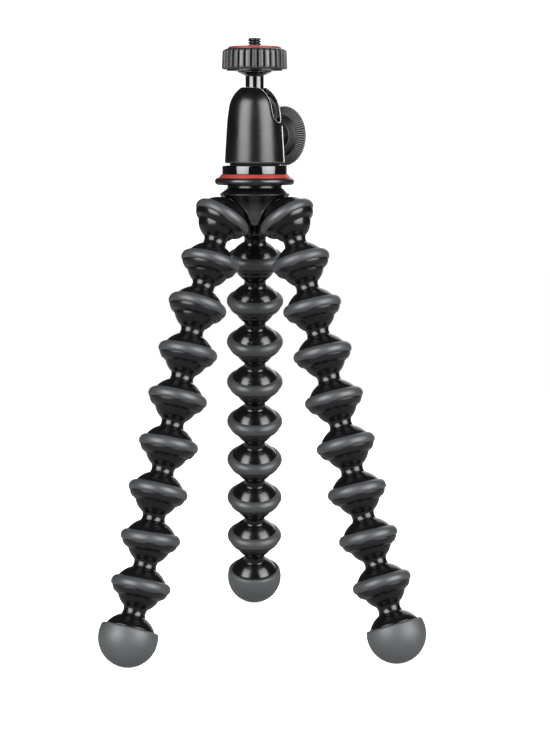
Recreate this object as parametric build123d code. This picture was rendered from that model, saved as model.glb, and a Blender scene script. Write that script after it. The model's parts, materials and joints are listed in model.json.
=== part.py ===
from build123d import *
import os
from math import acos, atan2, cos, degrees, pi, radians, sin, sqrt

# Flexible leg tripod with a small ball head, in millimetres, +Z up, the feet standing on z = 0.
# Three legs of ball-and-socket links hang from a hub, and the hub carries a panning ball head.
# The origin is the middle of the footprint's box, and the head's axis stands beside it.

# Leg link: a ball on a neck above a domed socket
BALL_RADIUS = 10.3
NECK_LENGTH = 3.79218
NECK_RADIUS = 5.3
NECK_FLARE = 0.5
SOCKET_CLEARANCE = 0.1
DOME_WALL = 1.0
DOME_DROP = 1.7
GROOVE_WALL = 1.8
LIP_WALL = 2.7
LIP_BULGE_INSET = 1.15
LIP_BULGE_RISE = 1.3
LIP_EDGE = 0.21154
MOUTH_DEPTH = 3.65
SEAM_CLEARANCE = 0.02
NECK_ROOT_RADIUS = NECK_RADIUS + NECK_FLARE
SOCKET_RADIUS = BALL_RADIUS + SOCKET_CLEARANCE
DOME_RADIUS = SOCKET_RADIUS + DOME_WALL + DOME_DROP
GROOVE_RADIUS = SOCKET_RADIUS + GROOVE_WALL
LIP_RADIUS = SOCKET_RADIUS + LIP_WALL
MOUTH_RADIUS = sqrt(SOCKET_RADIUS ** 2 - MOUTH_DEPTH ** 2)
BALL_TO_ROOT = sqrt(BALL_RADIUS ** 2 - NECK_ROOT_RADIUS ** 2)
ROOT_TO_SOCKET = sqrt(DOME_RADIUS ** 2 - NECK_ROOT_RADIUS ** 2) - DOME_DROP
BALL_PITCH = BALL_TO_ROOT + NECK_LENGTH + ROOT_TO_SOCKET

# Rubber grip ring round each socket
GRIP_BAND = 1.85
GRIP_RISE = 1.8
GRIP_LAP = 1.0
GRIP_UPPER_INSET = 0.7
GRIP_UPPER_SHARE = 0.66
GRIP_LOWER_INSET = 0.85
GRIP_LOWER_BULGE_INSET = 0.25
GRIP_LOWER_BULGE_DEPTH = 1.0
GRIP_LOWER_DEPTH = 1.75
GRIP_RADIUS = GROOVE_RADIUS + GRIP_BAND
GRIP_TOP_RADIUS = GROOVE_RADIUS - GRIP_LAP
GRIP_LOWER_RADIUS = GRIP_RADIUS - GRIP_LOWER_INSET

# Foot: a link that ends in a round core under a rubber boot
FOOT_NECK_LENGTH = 4.04218
BOOT_PROUD = 0.9
BOOT_WALL = 2.0
BOOT_RIM_HEIGHT = 4.5
BOOT_RIM_ROUND = 1.3
FOOT_RADIUS = DOME_RADIUS + BOOT_PROUD
FOOT_REACH = BALL_TO_ROOT + FOOT_NECK_LENGTH + ROOT_TO_SOCKET

# Head ball and the form of its housing, from which the sizes of the stack below it follow
HEAD_BALL_RADIUS = 10.2
HEAD_BALL_CLEARANCE = 0.1
HOUSING_WALL = 4.1
HEAD_CAVITY_RADIUS = HEAD_BALL_RADIUS + HEAD_BALL_CLEARANCE
HOUSING_RADIUS = HEAD_CAVITY_RADIUS + HOUSING_WALL

# Base flange, red accent ring and panning base, stacked on the hub
PAN_PROUD = 1.2
PAN_THICKNESS = 4.65
PAN_EDGE = 0.3
PAN_SHOULDER_INSET = 1.5
PAN_SHOULDER_HEIGHT = 0.95
PAN_GAP = 0.15
PAN_PLAY = 0.2
PAN_BOSS_CLEARANCE = 0.08
ACCENT_THICKNESS = 1.65
ACCENT_LEDGE = 0.4
ACCENT_SLOPE = 1.4
FLANGE_THICKNESS = 3.65
FLANGE_EDGE_HEIGHT = 1.7
FLANGE_LEDGE = 0.05
FLANGE_PROUD = 1.7
FLANGE_UNDER_INSET = 2.3
FLANGE_UNDER_RISE = 0.35
FLANGE_BOSS_INSET = 2.75
PAN_RADIUS = HOUSING_RADIUS + PAN_PROUD
PAN_SHOULDER_RADIUS = HOUSING_RADIUS - PAN_SHOULDER_INSET
ACCENT_UPPER_RADIUS = PAN_RADIUS + ACCENT_LEDGE
ACCENT_LOWER_RADIUS = ACCENT_UPPER_RADIUS + ACCENT_SLOPE
FLANGE_TOP_RADIUS = ACCENT_LOWER_RADIUS + FLANGE_LEDGE
FLANGE_RADIUS = FLANGE_TOP_RADIUS + FLANGE_PROUD
FLANGE_UNDER_RADIUS = FLANGE_RADIUS - FLANGE_UNDER_INSET
FLANGE_BOSS_RADIUS = ACCENT_UPPER_RADIUS - FLANGE_BOSS_INSET

# Hub: heights are above the plane of its three socket centres
SOCKET_SPREAD = 4.95
SOCKET_TILT = 35.0
HUB_CROWN_RISE = 2.8
HUB_NECK_INSET = 3.75
HUB_NECK_LENGTH = 1.25
HUB_SHOULDER_FLARE = 3.85
HUB_SHOULDER_DROP = 2.9
HUB_WAIST_INSET = 9.45
HUB_WAIST_HEIGHT = 0.5
HUB_TRUMPET_FLARE = 2.6
HUB_CORE_INSET = 1.2
HUB_CORE_DEPTH = 2.1
HUB_POST_RADIUS = 2.3
HUB_POST_LENGTH = 5.2
RING_ROOM = 0.5
SOCKET_CIRCLE_RADIUS = GRIP_RADIUS + SOCKET_SPREAD
HUB_TOP_HEIGHT = GRIP_RADIUS + HUB_CROWN_RISE
HUB_NECK_RADIUS = FLANGE_UNDER_RADIUS - HUB_NECK_INSET
HUB_NECK_HEIGHT = HUB_TOP_HEIGHT - HUB_NECK_LENGTH
HUB_SHOULDER_RADIUS = HUB_NECK_RADIUS + HUB_SHOULDER_FLARE
HUB_SHOULDER_HEIGHT = HUB_NECK_HEIGHT - HUB_SHOULDER_DROP
HUB_WAIST_RADIUS = SOCKET_CIRCLE_RADIUS - HUB_WAIST_INSET
HUB_TRUMPET_RADIUS = HUB_WAIST_RADIUS + HUB_TRUMPET_FLARE
HUB_CORE_RADIUS = HUB_WAIST_RADIUS - HUB_CORE_INSET

# Stud that holds the ball head on the hub, a quarter inch across, with a moulded-in hexagon
STUD_RADIUS = 3.175
STUD_DEPTH = 10.65
STUD_END = 1.4
STUD_HEX_LEDGE = 4.75
STUD_HEX_THICKNESS = 4.0
STUD_ROOM = 0.1
STUD_ENGAGEMENT = 4.2
STUD_BOTTOM_HEIGHT = HUB_TOP_HEIGHT - STUD_DEPTH
STUD_HEX_BOTTOM = STUD_BOTTOM_HEIGHT + STUD_END
STUD_HEX_FLATS = 2 * STUD_RADIUS + STUD_HEX_LEDGE

# Fastening of the housing on the panning base
FLOOR_THICKNESS = 3.0
FLOOR_CLEARANCE = 0.02
PAN_WASHER_INSET = 0.8
PAN_WASHER_LAP = 2.5
PAN_WASHER_THICKNESS = 1.0
PAN_SCREW_RADIUS = 2.0
PAN_SCREW_LENGTH = 3.6
PAN_SCREW_HEAD_LEDGE = 1.6
PAN_SCREW_HEAD_HEIGHT = 2.0
PAN_SCREW_HEX_FLATS = 2.5
PAN_SCREW_HEX_DEPTH = 1.2
PAN_WASHER_RADIUS = HEAD_CAVITY_RADIUS - PAN_WASHER_INSET
PAN_BOSS_RADIUS = PAN_WASHER_RADIUS - PAN_WASHER_LAP
PAN_SCREW_HEAD_RADIUS = PAN_SCREW_RADIUS + PAN_SCREW_HEAD_LEDGE
PAN_WASHER_HEIGHT = FLOOR_THICKNESS + PAN_PLAY

# Brake seat under the ball: heights are above the housing's lower face
SEAT_ROOM = 3.35
SEAT_FLOOR = 3.85
SEAT_HEIGHT = 8.05
SEAT_CLEARANCE = 0.1
SEAT_BALL_GAP = 0.05
SEAT_POCKET_ROOM = 0.35
SEAT_POCKET_FLOOR = 0.15
SEAT_BOTTOM_HEIGHT = PAN_WASHER_HEIGHT + PAN_WASHER_THICKNESS + PAN_SCREW_HEAD_HEIGHT + SEAT_ROOM
HEAD_BALL_HEIGHT = SEAT_BOTTOM_HEIGHT + SEAT_FLOOR + HEAD_BALL_RADIUS

# Lock knob and its bolt: lengths are along the knob's axis from its inner face
KNOB_AZIMUTH = 46.0
KNOB_PLAY = 0.15
KNOB_WASHER_THICKNESS = 0.45
KNOB_WASHER_INSET = 0.2
KNOB_RADIUS = 14.5
KNOB_FACE_INSET = 4.1
KNOB_CONE_LENGTH = 2.4
KNOB_RIM_WIDTH = 0.3
KNOB_OUTER_INSET = 4.5
KNOB_CAP_INSET = 1.0
KNOB_CAP_THICKNESS = 1.0
KNOB_CAP_DOME = 0.5
KNOB_CAP_CLEARANCE = 0.05
BOLT_RADIUS = 2.5
BOLT_CLEARANCE = 0.05
BOLT_TIP_RADIUS = 0.7
BOLT_TIP_START = 8.2
BOLT_TIP_LENGTH = 3.2
BOLT_HEX_LEDGE = 3.0
BOLT_HEX_START = 3.4
BOLT_HEX_LENGTH = 2.9
BOLT_HEAD_ROOM = 0.1
KNOB_GAP = KNOB_WASHER_THICKNESS + KNOB_PLAY
KNOB_FACE_RADIUS = KNOB_RADIUS - KNOB_FACE_INSET
KNOB_OUTER_RADIUS = KNOB_RADIUS - KNOB_OUTER_INSET
KNOB_CAP_RADIUS = KNOB_OUTER_RADIUS - KNOB_CAP_INSET
KNOB_LENGTH = BOLT_HEX_START + BOLT_HEX_LENGTH + BOLT_HEAD_ROOM + KNOB_CAP_THICKNESS
KNOB_RIM_END = KNOB_CONE_LENGTH + KNOB_RIM_WIDTH
KNOB_HEIGHT = SEAT_BOTTOM_HEIGHT + SEAT_POCKET_FLOOR + SEAT_POCKET_ROOM + BOLT_RADIUS
BOLT_TIP_END = BOLT_TIP_START + BOLT_TIP_LENGTH
BOLT_HEX_FLATS = 2 * BOLT_RADIUS + BOLT_HEX_LEDGE

# Ball housing: heights are above its lower face
HOUSING_CROWN_WALL = 2.4
HOUSING_FOOT_EDGE = 0.5
HOUSING_TAPER = 1.1
HOUSING_WAIST_DROP = 3.0
HOUSING_CROWN_INSET = 1.95
HOUSING_CROWN_DROP = 5.8
HOUSING_RIM_LEDGE = 0.4
HOUSING_RIM_DROP = 0.3
HOUSING_MOUTH_ROOM = 1.88
SLOT_AZIMUTH = -23.0
SLOT_ROOM = 0.28
FLAT_WALL = 1.9
KNOB_BOSS_RADIUS = 6.4
KNOB_BOSS_PROUD = 2.8
HOUSING_HEIGHT = HEAD_BALL_HEIGHT + HEAD_BALL_RADIUS + HOUSING_CROWN_WALL
HOUSING_RIM_HEIGHT = HOUSING_HEIGHT - HOUSING_RIM_DROP
HOUSING_WAIST_RADIUS = HOUSING_RADIUS - HOUSING_TAPER
HOUSING_WAIST_HEIGHT = HEAD_BALL_HEIGHT - HOUSING_WAIST_DROP
HOUSING_CROWN_RADIUS = HOUSING_WAIST_RADIUS - HOUSING_CROWN_INSET
HOUSING_CROWN_HEIGHT = HOUSING_RIM_HEIGHT - HOUSING_CROWN_DROP
FLAT_DISTANCE = HEAD_CAVITY_RADIUS + FLAT_WALL
KNOB_BOSS_END = HOUSING_RADIUS + KNOB_BOSS_PROUD
KNOB_WASHER_RADIUS = KNOB_BOSS_RADIUS - KNOB_WASHER_INSET
KNOB_FACE_DISTANCE = KNOB_BOSS_END + KNOB_GAP

# Camera screw, ball stem, mounting disc and pad: heights are above the ball's centre
CAMERA_SCREW_RADIUS = 3.175
CAMERA_SCREW_RISE = 3.8
CAMERA_SCREW_CHAMFER = 0.4
CAMERA_SCREW_RELIEF = 0.475
COLLAR_LEDGE = 1.3
COLLAR_THICKNESS = 1.2
COLLAR_COVER = 1.15
COLLAR_PLAY = 0.1
STEM_WALL = 1.245
STEM_LENGTH = 4.9
STEM_FLARE_LENGTH = 1.7
STEM_FLANGE_LEDGE = 3.9
STEM_FLANGE_THICKNESS = 0.5
SPIGOT_WALL = 1.025
SCREW_BORE_DEPTH = 12.0
DISC_GAP = 0.15
DISC_STEP_INSET = 2.35
DISC_STEP_HEIGHT = 0.7
DISC_RADIUS = 15.7
DISC_TAPER = 0.4
DISC_THICKNESS = 9.7
DISC_EDGE = 0.7
DISC_BORE_CLEARANCE = 0.08
DISC_COLLAR_ROOM = 0.2
FLUTE_COUNT = 26
FLUTE_RADIUS = 0.75
FLUTE_DEPTH = 0.45
PAD_INSET = 2.5
PAD_THICKNESS = 1.5
PAD_SINK = 0.3
PAD_EDGE = 0.3
PAD_HOLE_CLEARANCE = 0.3
CAMERA_SCREW_NECK_RADIUS = CAMERA_SCREW_RADIUS - CAMERA_SCREW_RELIEF
SPIGOT_RADIUS = CAMERA_SCREW_RADIUS + SPIGOT_WALL
COLLAR_RADIUS = SPIGOT_RADIUS + COLLAR_LEDGE
STEM_RADIUS = CAMERA_SCREW_RADIUS + STEM_WALL
STEM_FLANGE_RADIUS = SPIGOT_RADIUS + STEM_FLANGE_LEDGE
STEM_FLARE_HEIGHT = HEAD_BALL_RADIUS + HOUSING_CROWN_WALL + STEM_LENGTH
STEM_FLANGE_HEIGHT = STEM_FLARE_HEIGHT + STEM_FLARE_LENGTH
STEM_TOP_HEIGHT = STEM_FLANGE_HEIGHT + STEM_FLANGE_THICKNESS
DISC_STEP_RADIUS = DISC_RADIUS - DISC_STEP_INSET
DISC_TOP_RADIUS = DISC_RADIUS - DISC_TAPER
PAD_RADIUS = DISC_TOP_RADIUS - PAD_INSET
DISC_STEP_BOTTOM = STEM_TOP_HEIGHT + DISC_GAP
DISC_BOTTOM = DISC_STEP_BOTTOM + DISC_STEP_HEIGHT
PAD_BOTTOM = DISC_BOTTOM + DISC_THICKNESS - PAD_SINK
PAD_TOP = PAD_BOTTOM + PAD_THICKNESS
SPIGOT_HEIGHT = PAD_BOTTOM - COLLAR_COVER - COLLAR_THICKNESS
SLOT_HALF_WIDTH = STEM_RADIUS + SLOT_ROOM
HOUSING_MOUTH_RADIUS = STEM_RADIUS + HOUSING_MOUTH_ROOM
HOUSING_RIM_RADIUS = HOUSING_MOUTH_RADIUS + HOUSING_RIM_LEDGE

# One overrun for every cut that passes through a face
OVERRUN = 1.0

# Posture: each leg lies in one upright plane, and each link leans from the vertical by so many degrees
SOCKET_AZIMUTHS = {"left": 210.0, "right": 330.0, "back": 90.0}
LEG_AZIMUTHS = {"left": 228.9, "right": 321.0, "back": 91.1}
LINK_LEANS = {
    "left": (20.4, 23.8, 17.0, 18.7, 16.3, 18.9, 13.3, 17.6, 20.5),
    "right": (20.6, 17.5, 16.2, 18.1, 18.5, 17.2, 17.5, 21.3, 20.5),
    "back": (15.1, 16.4, 20.1, 19.6, 19.4, 21.1, 20.2, 17.2, 18.8),
}


def section(start, *steps):
    """Closed face in (radius, height): a step is a point, or (point passed through, point) for an arc."""
    edges, here = [], start
    for step in steps + (start,):
        if isinstance(step[0], tuple):
            edges.append(ThreePointArc(here, step[0], step[1]))
            here = step[1]
        elif step != here:
            edges.append(Line(here, step))
            here = step
    return Plane.XZ * make_face(edges)


def turned(start, *steps):
    """Solid of revolution about Z of the closed outline."""
    return revolve(section(start, *steps), Axis.Z).solid()


def rise(sphere_radius, radius):
    """Height on a sphere above its centre, at a distance from its axis."""
    return sqrt(sphere_radius ** 2 - radius ** 2)


def between(first, second, centre=0.0):
    """Point halfway along the shorter arc about (0, centre) from the first point to the second."""
    size = sqrt(first[0] ** 2 + (first[1] - centre) ** 2)
    across, up = first[0] + second[0], first[1] + second[1] - 2 * centre
    scale = size / sqrt(across ** 2 + up ** 2)
    return (across * scale, centre + up * scale)


def rod(radius, low, high):
    """Round bar on the Z axis from one height to another."""
    return Pos(0, 0, (low + high) / 2) * Cylinder(radius, high - low)


def hexagon(flats, low, high):
    """Hexagonal bar on the Z axis, measured across its flats."""
    return extrude(Pos(0, 0, low) * RegularPolygon(flats / 2, 6, major_radius=False), high - low)


def ball_and_neck(pitch):
    """Outline steps from the top of the ball, down the neck and onto the dome a pitch below."""
    top = (0, BALL_RADIUS)
    ball_foot = (NECK_ROOT_RADIUS, -BALL_TO_ROOT)
    dome_top = (NECK_ROOT_RADIUS, ROOT_TO_SOCKET - pitch)
    waist = (NECK_RADIUS, (ball_foot[1] + dome_top[1]) / 2)
    return [top, (between(top, ball_foot), ball_foot), (waist, dome_top)]


def dome_arc(pitch, upper_radius, lower_radius):
    """Arc step down the dome between two radii."""
    centre = -pitch - DOME_DROP
    upper = (upper_radius, centre + rise(DOME_RADIUS, upper_radius))
    lower = (lower_radius, centre + rise(DOME_RADIUS, lower_radius))
    return (between(upper, lower, centre), lower)


def socket_lip(pitch):
    """Outline steps round the ring groove and the lip, and into the spherical socket to its top."""
    groove_low = -pitch + GRIP_RISE - GRIP_LOWER_DEPTH
    rim = -pitch - MOUTH_DEPTH
    mouth = (MOUTH_RADIUS, rim)
    crown = (0, -pitch + SOCKET_RADIUS)
    return [
        (GROOVE_RADIUS, groove_low),
        (LIP_RADIUS, groove_low),
        ((LIP_RADIUS - LIP_BULGE_INSET, rim + LIP_BULGE_RISE), (MOUTH_RADIUS + LIP_EDGE, rim)),
        mouth,
        (between(mouth, crown, -pitch), crown),
    ]


def link_body():
    """Link with its ball's centre at the origin and its socket a pitch below."""
    steps = ball_and_neck(BALL_PITCH) + [dome_arc(BALL_PITCH, NECK_ROOT_RADIUS, GROOVE_RADIUS)]
    return turned(*steps, *socket_lip(BALL_PITCH))


def grip_ring(pitch):
    """Rubber ring round the socket that lies a pitch below the origin, lapping over its dome."""
    plane = -pitch + GRIP_RISE
    centre = -pitch - DOME_DROP
    inner = GROOVE_RADIUS + SEAM_CLEARANCE
    dome = DOME_RADIUS + SEAM_CLEARANCE
    feather = (GRIP_TOP_RADIUS, centre + rise(dome, GRIP_TOP_RADIUS))
    inner_top = (inner, centre + rise(dome, inner))
    low = plane - GRIP_LOWER_DEPTH + SEAM_CLEARANCE
    upper_bulge = (GRIP_RADIUS - GRIP_UPPER_INSET, plane + GRIP_UPPER_SHARE * (feather[1] - plane))
    lower_bulge = (GRIP_RADIUS - GRIP_LOWER_BULGE_INSET, plane - GRIP_LOWER_BULGE_DEPTH)
    return turned(
        feather,
        (upper_bulge, (GRIP_RADIUS, plane)),
        (lower_bulge, (GRIP_LOWER_RADIUS, low)),
        (inner, low),
        inner_top,
        (between(inner_top, feather, centre), feather),
    )


def foot_body():
    """Last link of a leg: ball, neck, dome and a round core that carries the boot."""
    core = FOOT_RADIUS - BOOT_WALL
    rim = BOOT_RIM_HEIGHT - FOOT_REACH
    dome_foot = sqrt(DOME_RADIUS ** 2 - (BOOT_RIM_HEIGHT + DOME_DROP) ** 2)
    core_top = (rise(core, BOOT_RIM_HEIGHT), rim)
    core_side = (core, -FOOT_REACH)
    bottom = (0, -FOOT_REACH - core)
    steps = ball_and_neck(FOOT_REACH) + [dome_arc(FOOT_REACH, NECK_ROOT_RADIUS, dome_foot)]
    return turned(
        *steps,
        core_top,
        (between(core_top, core_side, -FOOT_REACH), core_side),
        (between(core_side, bottom, -FOOT_REACH), bottom),
    )


def foot_boot():
    """Rubber boot: a ball-shaped cap with a rounded rim, lined by the foot's core."""
    inner = FOOT_RADIUS - BOOT_WALL + SEAM_CLEARANCE
    rim = BOOT_RIM_HEIGHT - FOOT_REACH
    shoulder = BOOT_RIM_HEIGHT - BOOT_RIM_ROUND
    inner_top = (rise(inner, BOOT_RIM_HEIGHT), rim)
    rim_edge = (rise(FOOT_RADIUS, shoulder) - BOOT_RIM_ROUND, rim)
    outer_top = (rise(FOOT_RADIUS, shoulder), shoulder - FOOT_REACH)
    corner = (rim_edge[0] + BOOT_RIM_ROUND * cos(pi / 4), outer_top[1] + BOOT_RIM_ROUND * sin(pi / 4))
    side, inner_side = (FOOT_RADIUS, -FOOT_REACH), (inner, -FOOT_REACH)
    bottom, inner_bottom = (0, -FOOT_REACH - FOOT_RADIUS), (0, -FOOT_REACH - inner)
    return turned(
        inner_top,
        rim_edge,
        (corner, outer_top),
        (between(outer_top, side, -FOOT_REACH), side),
        (between(side, bottom, -FOOT_REACH), bottom),
        inner_bottom,
        (between(inner_bottom, inner_side, -FOOT_REACH), inner_side),
        (between(inner_side, inner_top, -FOOT_REACH), inner_top),
    )


def leg_reach(leans):
    """How far a leg's foot centre is out from, and below, its hub socket."""
    lengths = [BALL_PITCH] * (len(leans) - 1) + [FOOT_REACH]
    out = sum(length * sin(radians(lean)) for length, lean in zip(lengths, leans))
    return out, sum(length * cos(radians(lean)) for length, lean in zip(lengths, leans))


def trimmed_leans(leg):
    """The leg's leans, all turned by the one small angle that sets its foot as low as the left one."""
    out, down = leg_reach(LINK_LEANS[leg])
    length = sqrt(out ** 2 + down ** 2)
    trim = degrees(acos(leg_reach(LINK_LEANS["left"])[1] / length) - atan2(out, down))
    return [lean + trim for lean in LINK_LEANS[leg]]


def leg_centres(leg):
    """Ball centres from the hub down, and last the foot's centre, with the head's axis at x = y = 0."""
    around = radians(SOCKET_AZIMUTHS[leg])
    x, y = SOCKET_CIRCLE_RADIUS * cos(around), SOCKET_CIRCLE_RADIUS * sin(around)
    centres = [(x, y, SOCKET_HEIGHT)]
    leans = trimmed_leans(leg)
    heading = radians(LEG_AZIMUTHS[leg])
    for index, lean in enumerate(leans):
        length = FOOT_REACH if index == len(leans) - 1 else BALL_PITCH
        out, down = length * sin(radians(lean)), length * cos(radians(lean))
        x, y, z = centres[-1]
        centres.append((x + out * cos(heading), y + out * sin(heading), z - down))
    return centres


def head_offset():
    """Where the head's axis stands, so that the box round the three feet is centred on the origin."""
    feet = [leg_centres(leg)[-1] for leg in LEG_AZIMUTHS]
    middles = [(min(f[i] for f in feet) + max(f[i] for f in feet)) / 2 for i in (0, 1)]
    return (-middles[0], -middles[1])


def link_places(leg):
    """Location of each link of a leg, with its ball's centre as the link's origin."""
    places = []
    for centre, lean in zip(leg_centres(leg), trimmed_leans(leg)):
        x, y, z = centre
        turn = Rot(0, 0, LEG_AZIMUTHS[leg]) * Rot(0, -lean, 0)
        places.append(Pos(x + HEAD_X, y + HEAD_Y, z) * turn)
    return places


def socket_places():
    """Location of each hub socket: its centre as origin, its mouth facing down its local Z."""
    places = []
    for azimuth in SOCKET_AZIMUTHS.values():
        turn = Rot(0, 0, azimuth)
        out = Pos(SOCKET_CIRCLE_RADIUS, 0, 0) * Rot(0, -SOCKET_TILT, 0)
        places.append(turn * out)
    return places


def socket_shell():
    """One socket of the hub, centred on the origin: dome, ring groove and lip round a spherical hollow."""
    top = (0, DOME_RADIUS - DOME_DROP)
    groove = (GROOVE_RADIUS, rise(DOME_RADIUS, GROOVE_RADIUS) - DOME_DROP)
    return turned(top, (between(top, groove, -DOME_DROP), groove), *socket_lip(0))


def hub_core():
    """Turned body of the hub: neck, shoulder, hollowed waist and a short post below."""
    trumpet = (HUB_TRUMPET_RADIUS, (HUB_SHOULDER_HEIGHT + HUB_WAIST_HEIGHT) / 2)
    post_end = -HUB_CORE_DEPTH - HUB_POST_LENGTH
    return turned(
        (0, HUB_TOP_HEIGHT),
        (HUB_NECK_RADIUS, HUB_TOP_HEIGHT),
        (HUB_NECK_RADIUS, HUB_NECK_HEIGHT),
        (HUB_SHOULDER_RADIUS, HUB_SHOULDER_HEIGHT),
        (trumpet, (HUB_WAIST_RADIUS, HUB_WAIST_HEIGHT)),
        (HUB_CORE_RADIUS, -HUB_CORE_DEPTH),
        (HUB_POST_RADIUS, -HUB_CORE_DEPTH),
        (HUB_POST_RADIUS, post_end),
        (0, post_end),
    )


def hub_body():
    """Hub moulding with three sockets and the hollow that holds the stud."""
    ring_top = rise(DOME_RADIUS, GRIP_TOP_RADIUS) - DOME_DROP
    ring_room = rod(GRIP_RADIUS + RING_ROOM, -BALL_PITCH, ring_top + RING_ROOM)
    cavity = Sphere(SOCKET_RADIUS)
    body = hub_core()
    for place in socket_places():
        body -= place * ring_room
    for place in socket_places():
        body += place * socket_shell()
    for place in socket_places():
        body -= place * cavity
    body -= rod(STUD_RADIUS + STUD_ROOM, STUD_BOTTOM_HEIGHT, HUB_TOP_HEIGHT + OVERRUN)
    hex_top = STUD_HEX_BOTTOM + STUD_HEX_THICKNESS + SEAM_CLEARANCE
    body -= hexagon(STUD_HEX_FLATS + SEAM_CLEARANCE, STUD_HEX_BOTTOM - SEAM_CLEARANCE, hex_top)
    return body


def hub_stud():
    """Quarter-inch stud with a hexagon that the hub is moulded round."""
    top = FLANGE_BOTTOM + FLANGE_THICKNESS + ACCENT_THICKNESS + STUD_ENGAGEMENT
    bar = rod(STUD_RADIUS, STUD_BOTTOM_HEIGHT + SEAM_CLEARANCE, top)
    return bar + hexagon(STUD_HEX_FLATS, STUD_HEX_BOTTOM, STUD_HEX_BOTTOM + STUD_HEX_THICKNESS)


def base_flange():
    """Round-edged flange on the hub, with a boss that centres the accent ring."""
    top = FLANGE_THICKNESS + ACCENT_THICKNESS
    return turned(
        (STUD_RADIUS + STUD_ROOM, 0),
        (HUB_NECK_RADIUS, 0),
        (FLANGE_UNDER_RADIUS, FLANGE_UNDER_RISE),
        ((FLANGE_RADIUS, FLANGE_EDGE_HEIGHT), (FLANGE_TOP_RADIUS, FLANGE_THICKNESS)),
        (FLANGE_BOSS_RADIUS, FLANGE_THICKNESS),
        (FLANGE_BOSS_RADIUS, top),
        (STUD_RADIUS + STUD_ROOM, top),
    )


def accent_ring():
    """Thin coloured ring between the flange and the panning base."""
    inner = FLANGE_BOSS_RADIUS + SEAM_CLEARANCE
    return turned(
        (inner, 0),
        (ACCENT_LOWER_RADIUS, 0),
        (ACCENT_UPPER_RADIUS, ACCENT_THICKNESS),
        (inner, ACCENT_THICKNESS),
    )


def pan_base():
    """Panning base: outer ring, bearing shoulder and the boss that the housing turns on."""
    shoulder = PAN_THICKNESS + PAN_SHOULDER_HEIGHT
    boss = shoulder + PAN_GAP + FLOOR_THICKNESS + PAN_PLAY
    thread = STUD_RADIUS + STUD_ROOM
    screw_end = boss - PAN_SCREW_LENGTH
    body = turned(
        (0, 0),
        (PAN_RADIUS - PAN_EDGE, 0),
        (PAN_RADIUS, PAN_EDGE),
        (PAN_RADIUS, PAN_THICKNESS - PAN_EDGE),
        (PAN_RADIUS - PAN_EDGE, PAN_THICKNESS),
        (PAN_SHOULDER_RADIUS, PAN_THICKNESS),
        (PAN_SHOULDER_RADIUS, shoulder),
        (PAN_BOSS_RADIUS, shoulder),
        (PAN_BOSS_RADIUS, boss),
        (0, boss),
    )
    body -= rod(thread, -OVERRUN, STUD_ENGAGEMENT + STUD_ROOM)
    return body - rod(PAN_SCREW_RADIUS + SEAM_CLEARANCE, screw_end, boss + OVERRUN)


def pan_washer():
    """Washer on the boss that keeps the housing down."""
    ring = rod(PAN_WASHER_RADIUS, 0, PAN_WASHER_THICKNESS)
    return ring - rod(PAN_SCREW_RADIUS + SEAM_CLEARANCE, -OVERRUN, PAN_WASHER_THICKNESS + OVERRUN)


def pan_screw():
    """Socket-head screw through the washer into the boss, its head's underside on z = 0."""
    shank = rod(PAN_SCREW_RADIUS, SEAM_CLEARANCE - PAN_SCREW_LENGTH - PAN_WASHER_THICKNESS, 0)
    head = rod(PAN_SCREW_HEAD_RADIUS, 0, PAN_SCREW_HEAD_HEIGHT)
    drive_bottom = PAN_SCREW_HEAD_HEIGHT - PAN_SCREW_HEX_DEPTH
    drive = hexagon(PAN_SCREW_HEX_FLATS, drive_bottom, PAN_SCREW_HEAD_HEIGHT + OVERRUN)
    return shank + head - drive


def housing_floor():
    """Threaded floor ring that closes the housing and turns on the base's boss."""
    ring = rod(HEAD_CAVITY_RADIUS - FLOOR_CLEARANCE, 0, FLOOR_THICKNESS)
    return ring - rod(PAN_BOSS_RADIUS + PAN_BOSS_CLEARANCE, -OVERRUN, FLOOR_THICKNESS + OVERRUN)


def along_knob(shape, distance):
    """Shape turned so that its Z runs out along the knob's axis, from a distance off the head's axis."""
    return Rot(0, 0, KNOB_AZIMUTH) * Pos(distance, 0, KNOB_HEIGHT) * Rot(0, 90, 0) * shape


def housing_outside():
    """Domed outer form of the housing with the flat and the boss for the knob."""
    crown = (HOUSING_CROWN_RADIUS, HOUSING_CROWN_HEIGHT)
    body = turned(
        (0, 0),
        (HOUSING_RADIUS - HOUSING_FOOT_EDGE, 0),
        (HOUSING_RADIUS, HOUSING_FOOT_EDGE),
        (HOUSING_WAIST_RADIUS, HOUSING_WAIST_HEIGHT),
        (crown, (HOUSING_RIM_RADIUS, HOUSING_RIM_HEIGHT)),
        (HOUSING_MOUTH_RADIUS, HOUSING_HEIGHT),
        (0, HOUSING_HEIGHT),
    )
    flat_top = KNOB_HEIGHT + KNOB_BOSS_RADIUS
    depth = HOUSING_RADIUS - FLAT_DISTANCE + OVERRUN
    block = Box(depth, 2 * HOUSING_RADIUS, flat_top + OVERRUN, align=(Align.MIN, Align.CENTER, Align.MIN))
    body -= Rot(0, 0, KNOB_AZIMUTH) * Pos(FLAT_DISTANCE, 0, -OVERRUN) * block
    return body + along_knob(rod(KNOB_BOSS_RADIUS, 0, KNOB_BOSS_END - HEAD_BALL_RADIUS), HEAD_BALL_RADIUS)


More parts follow.
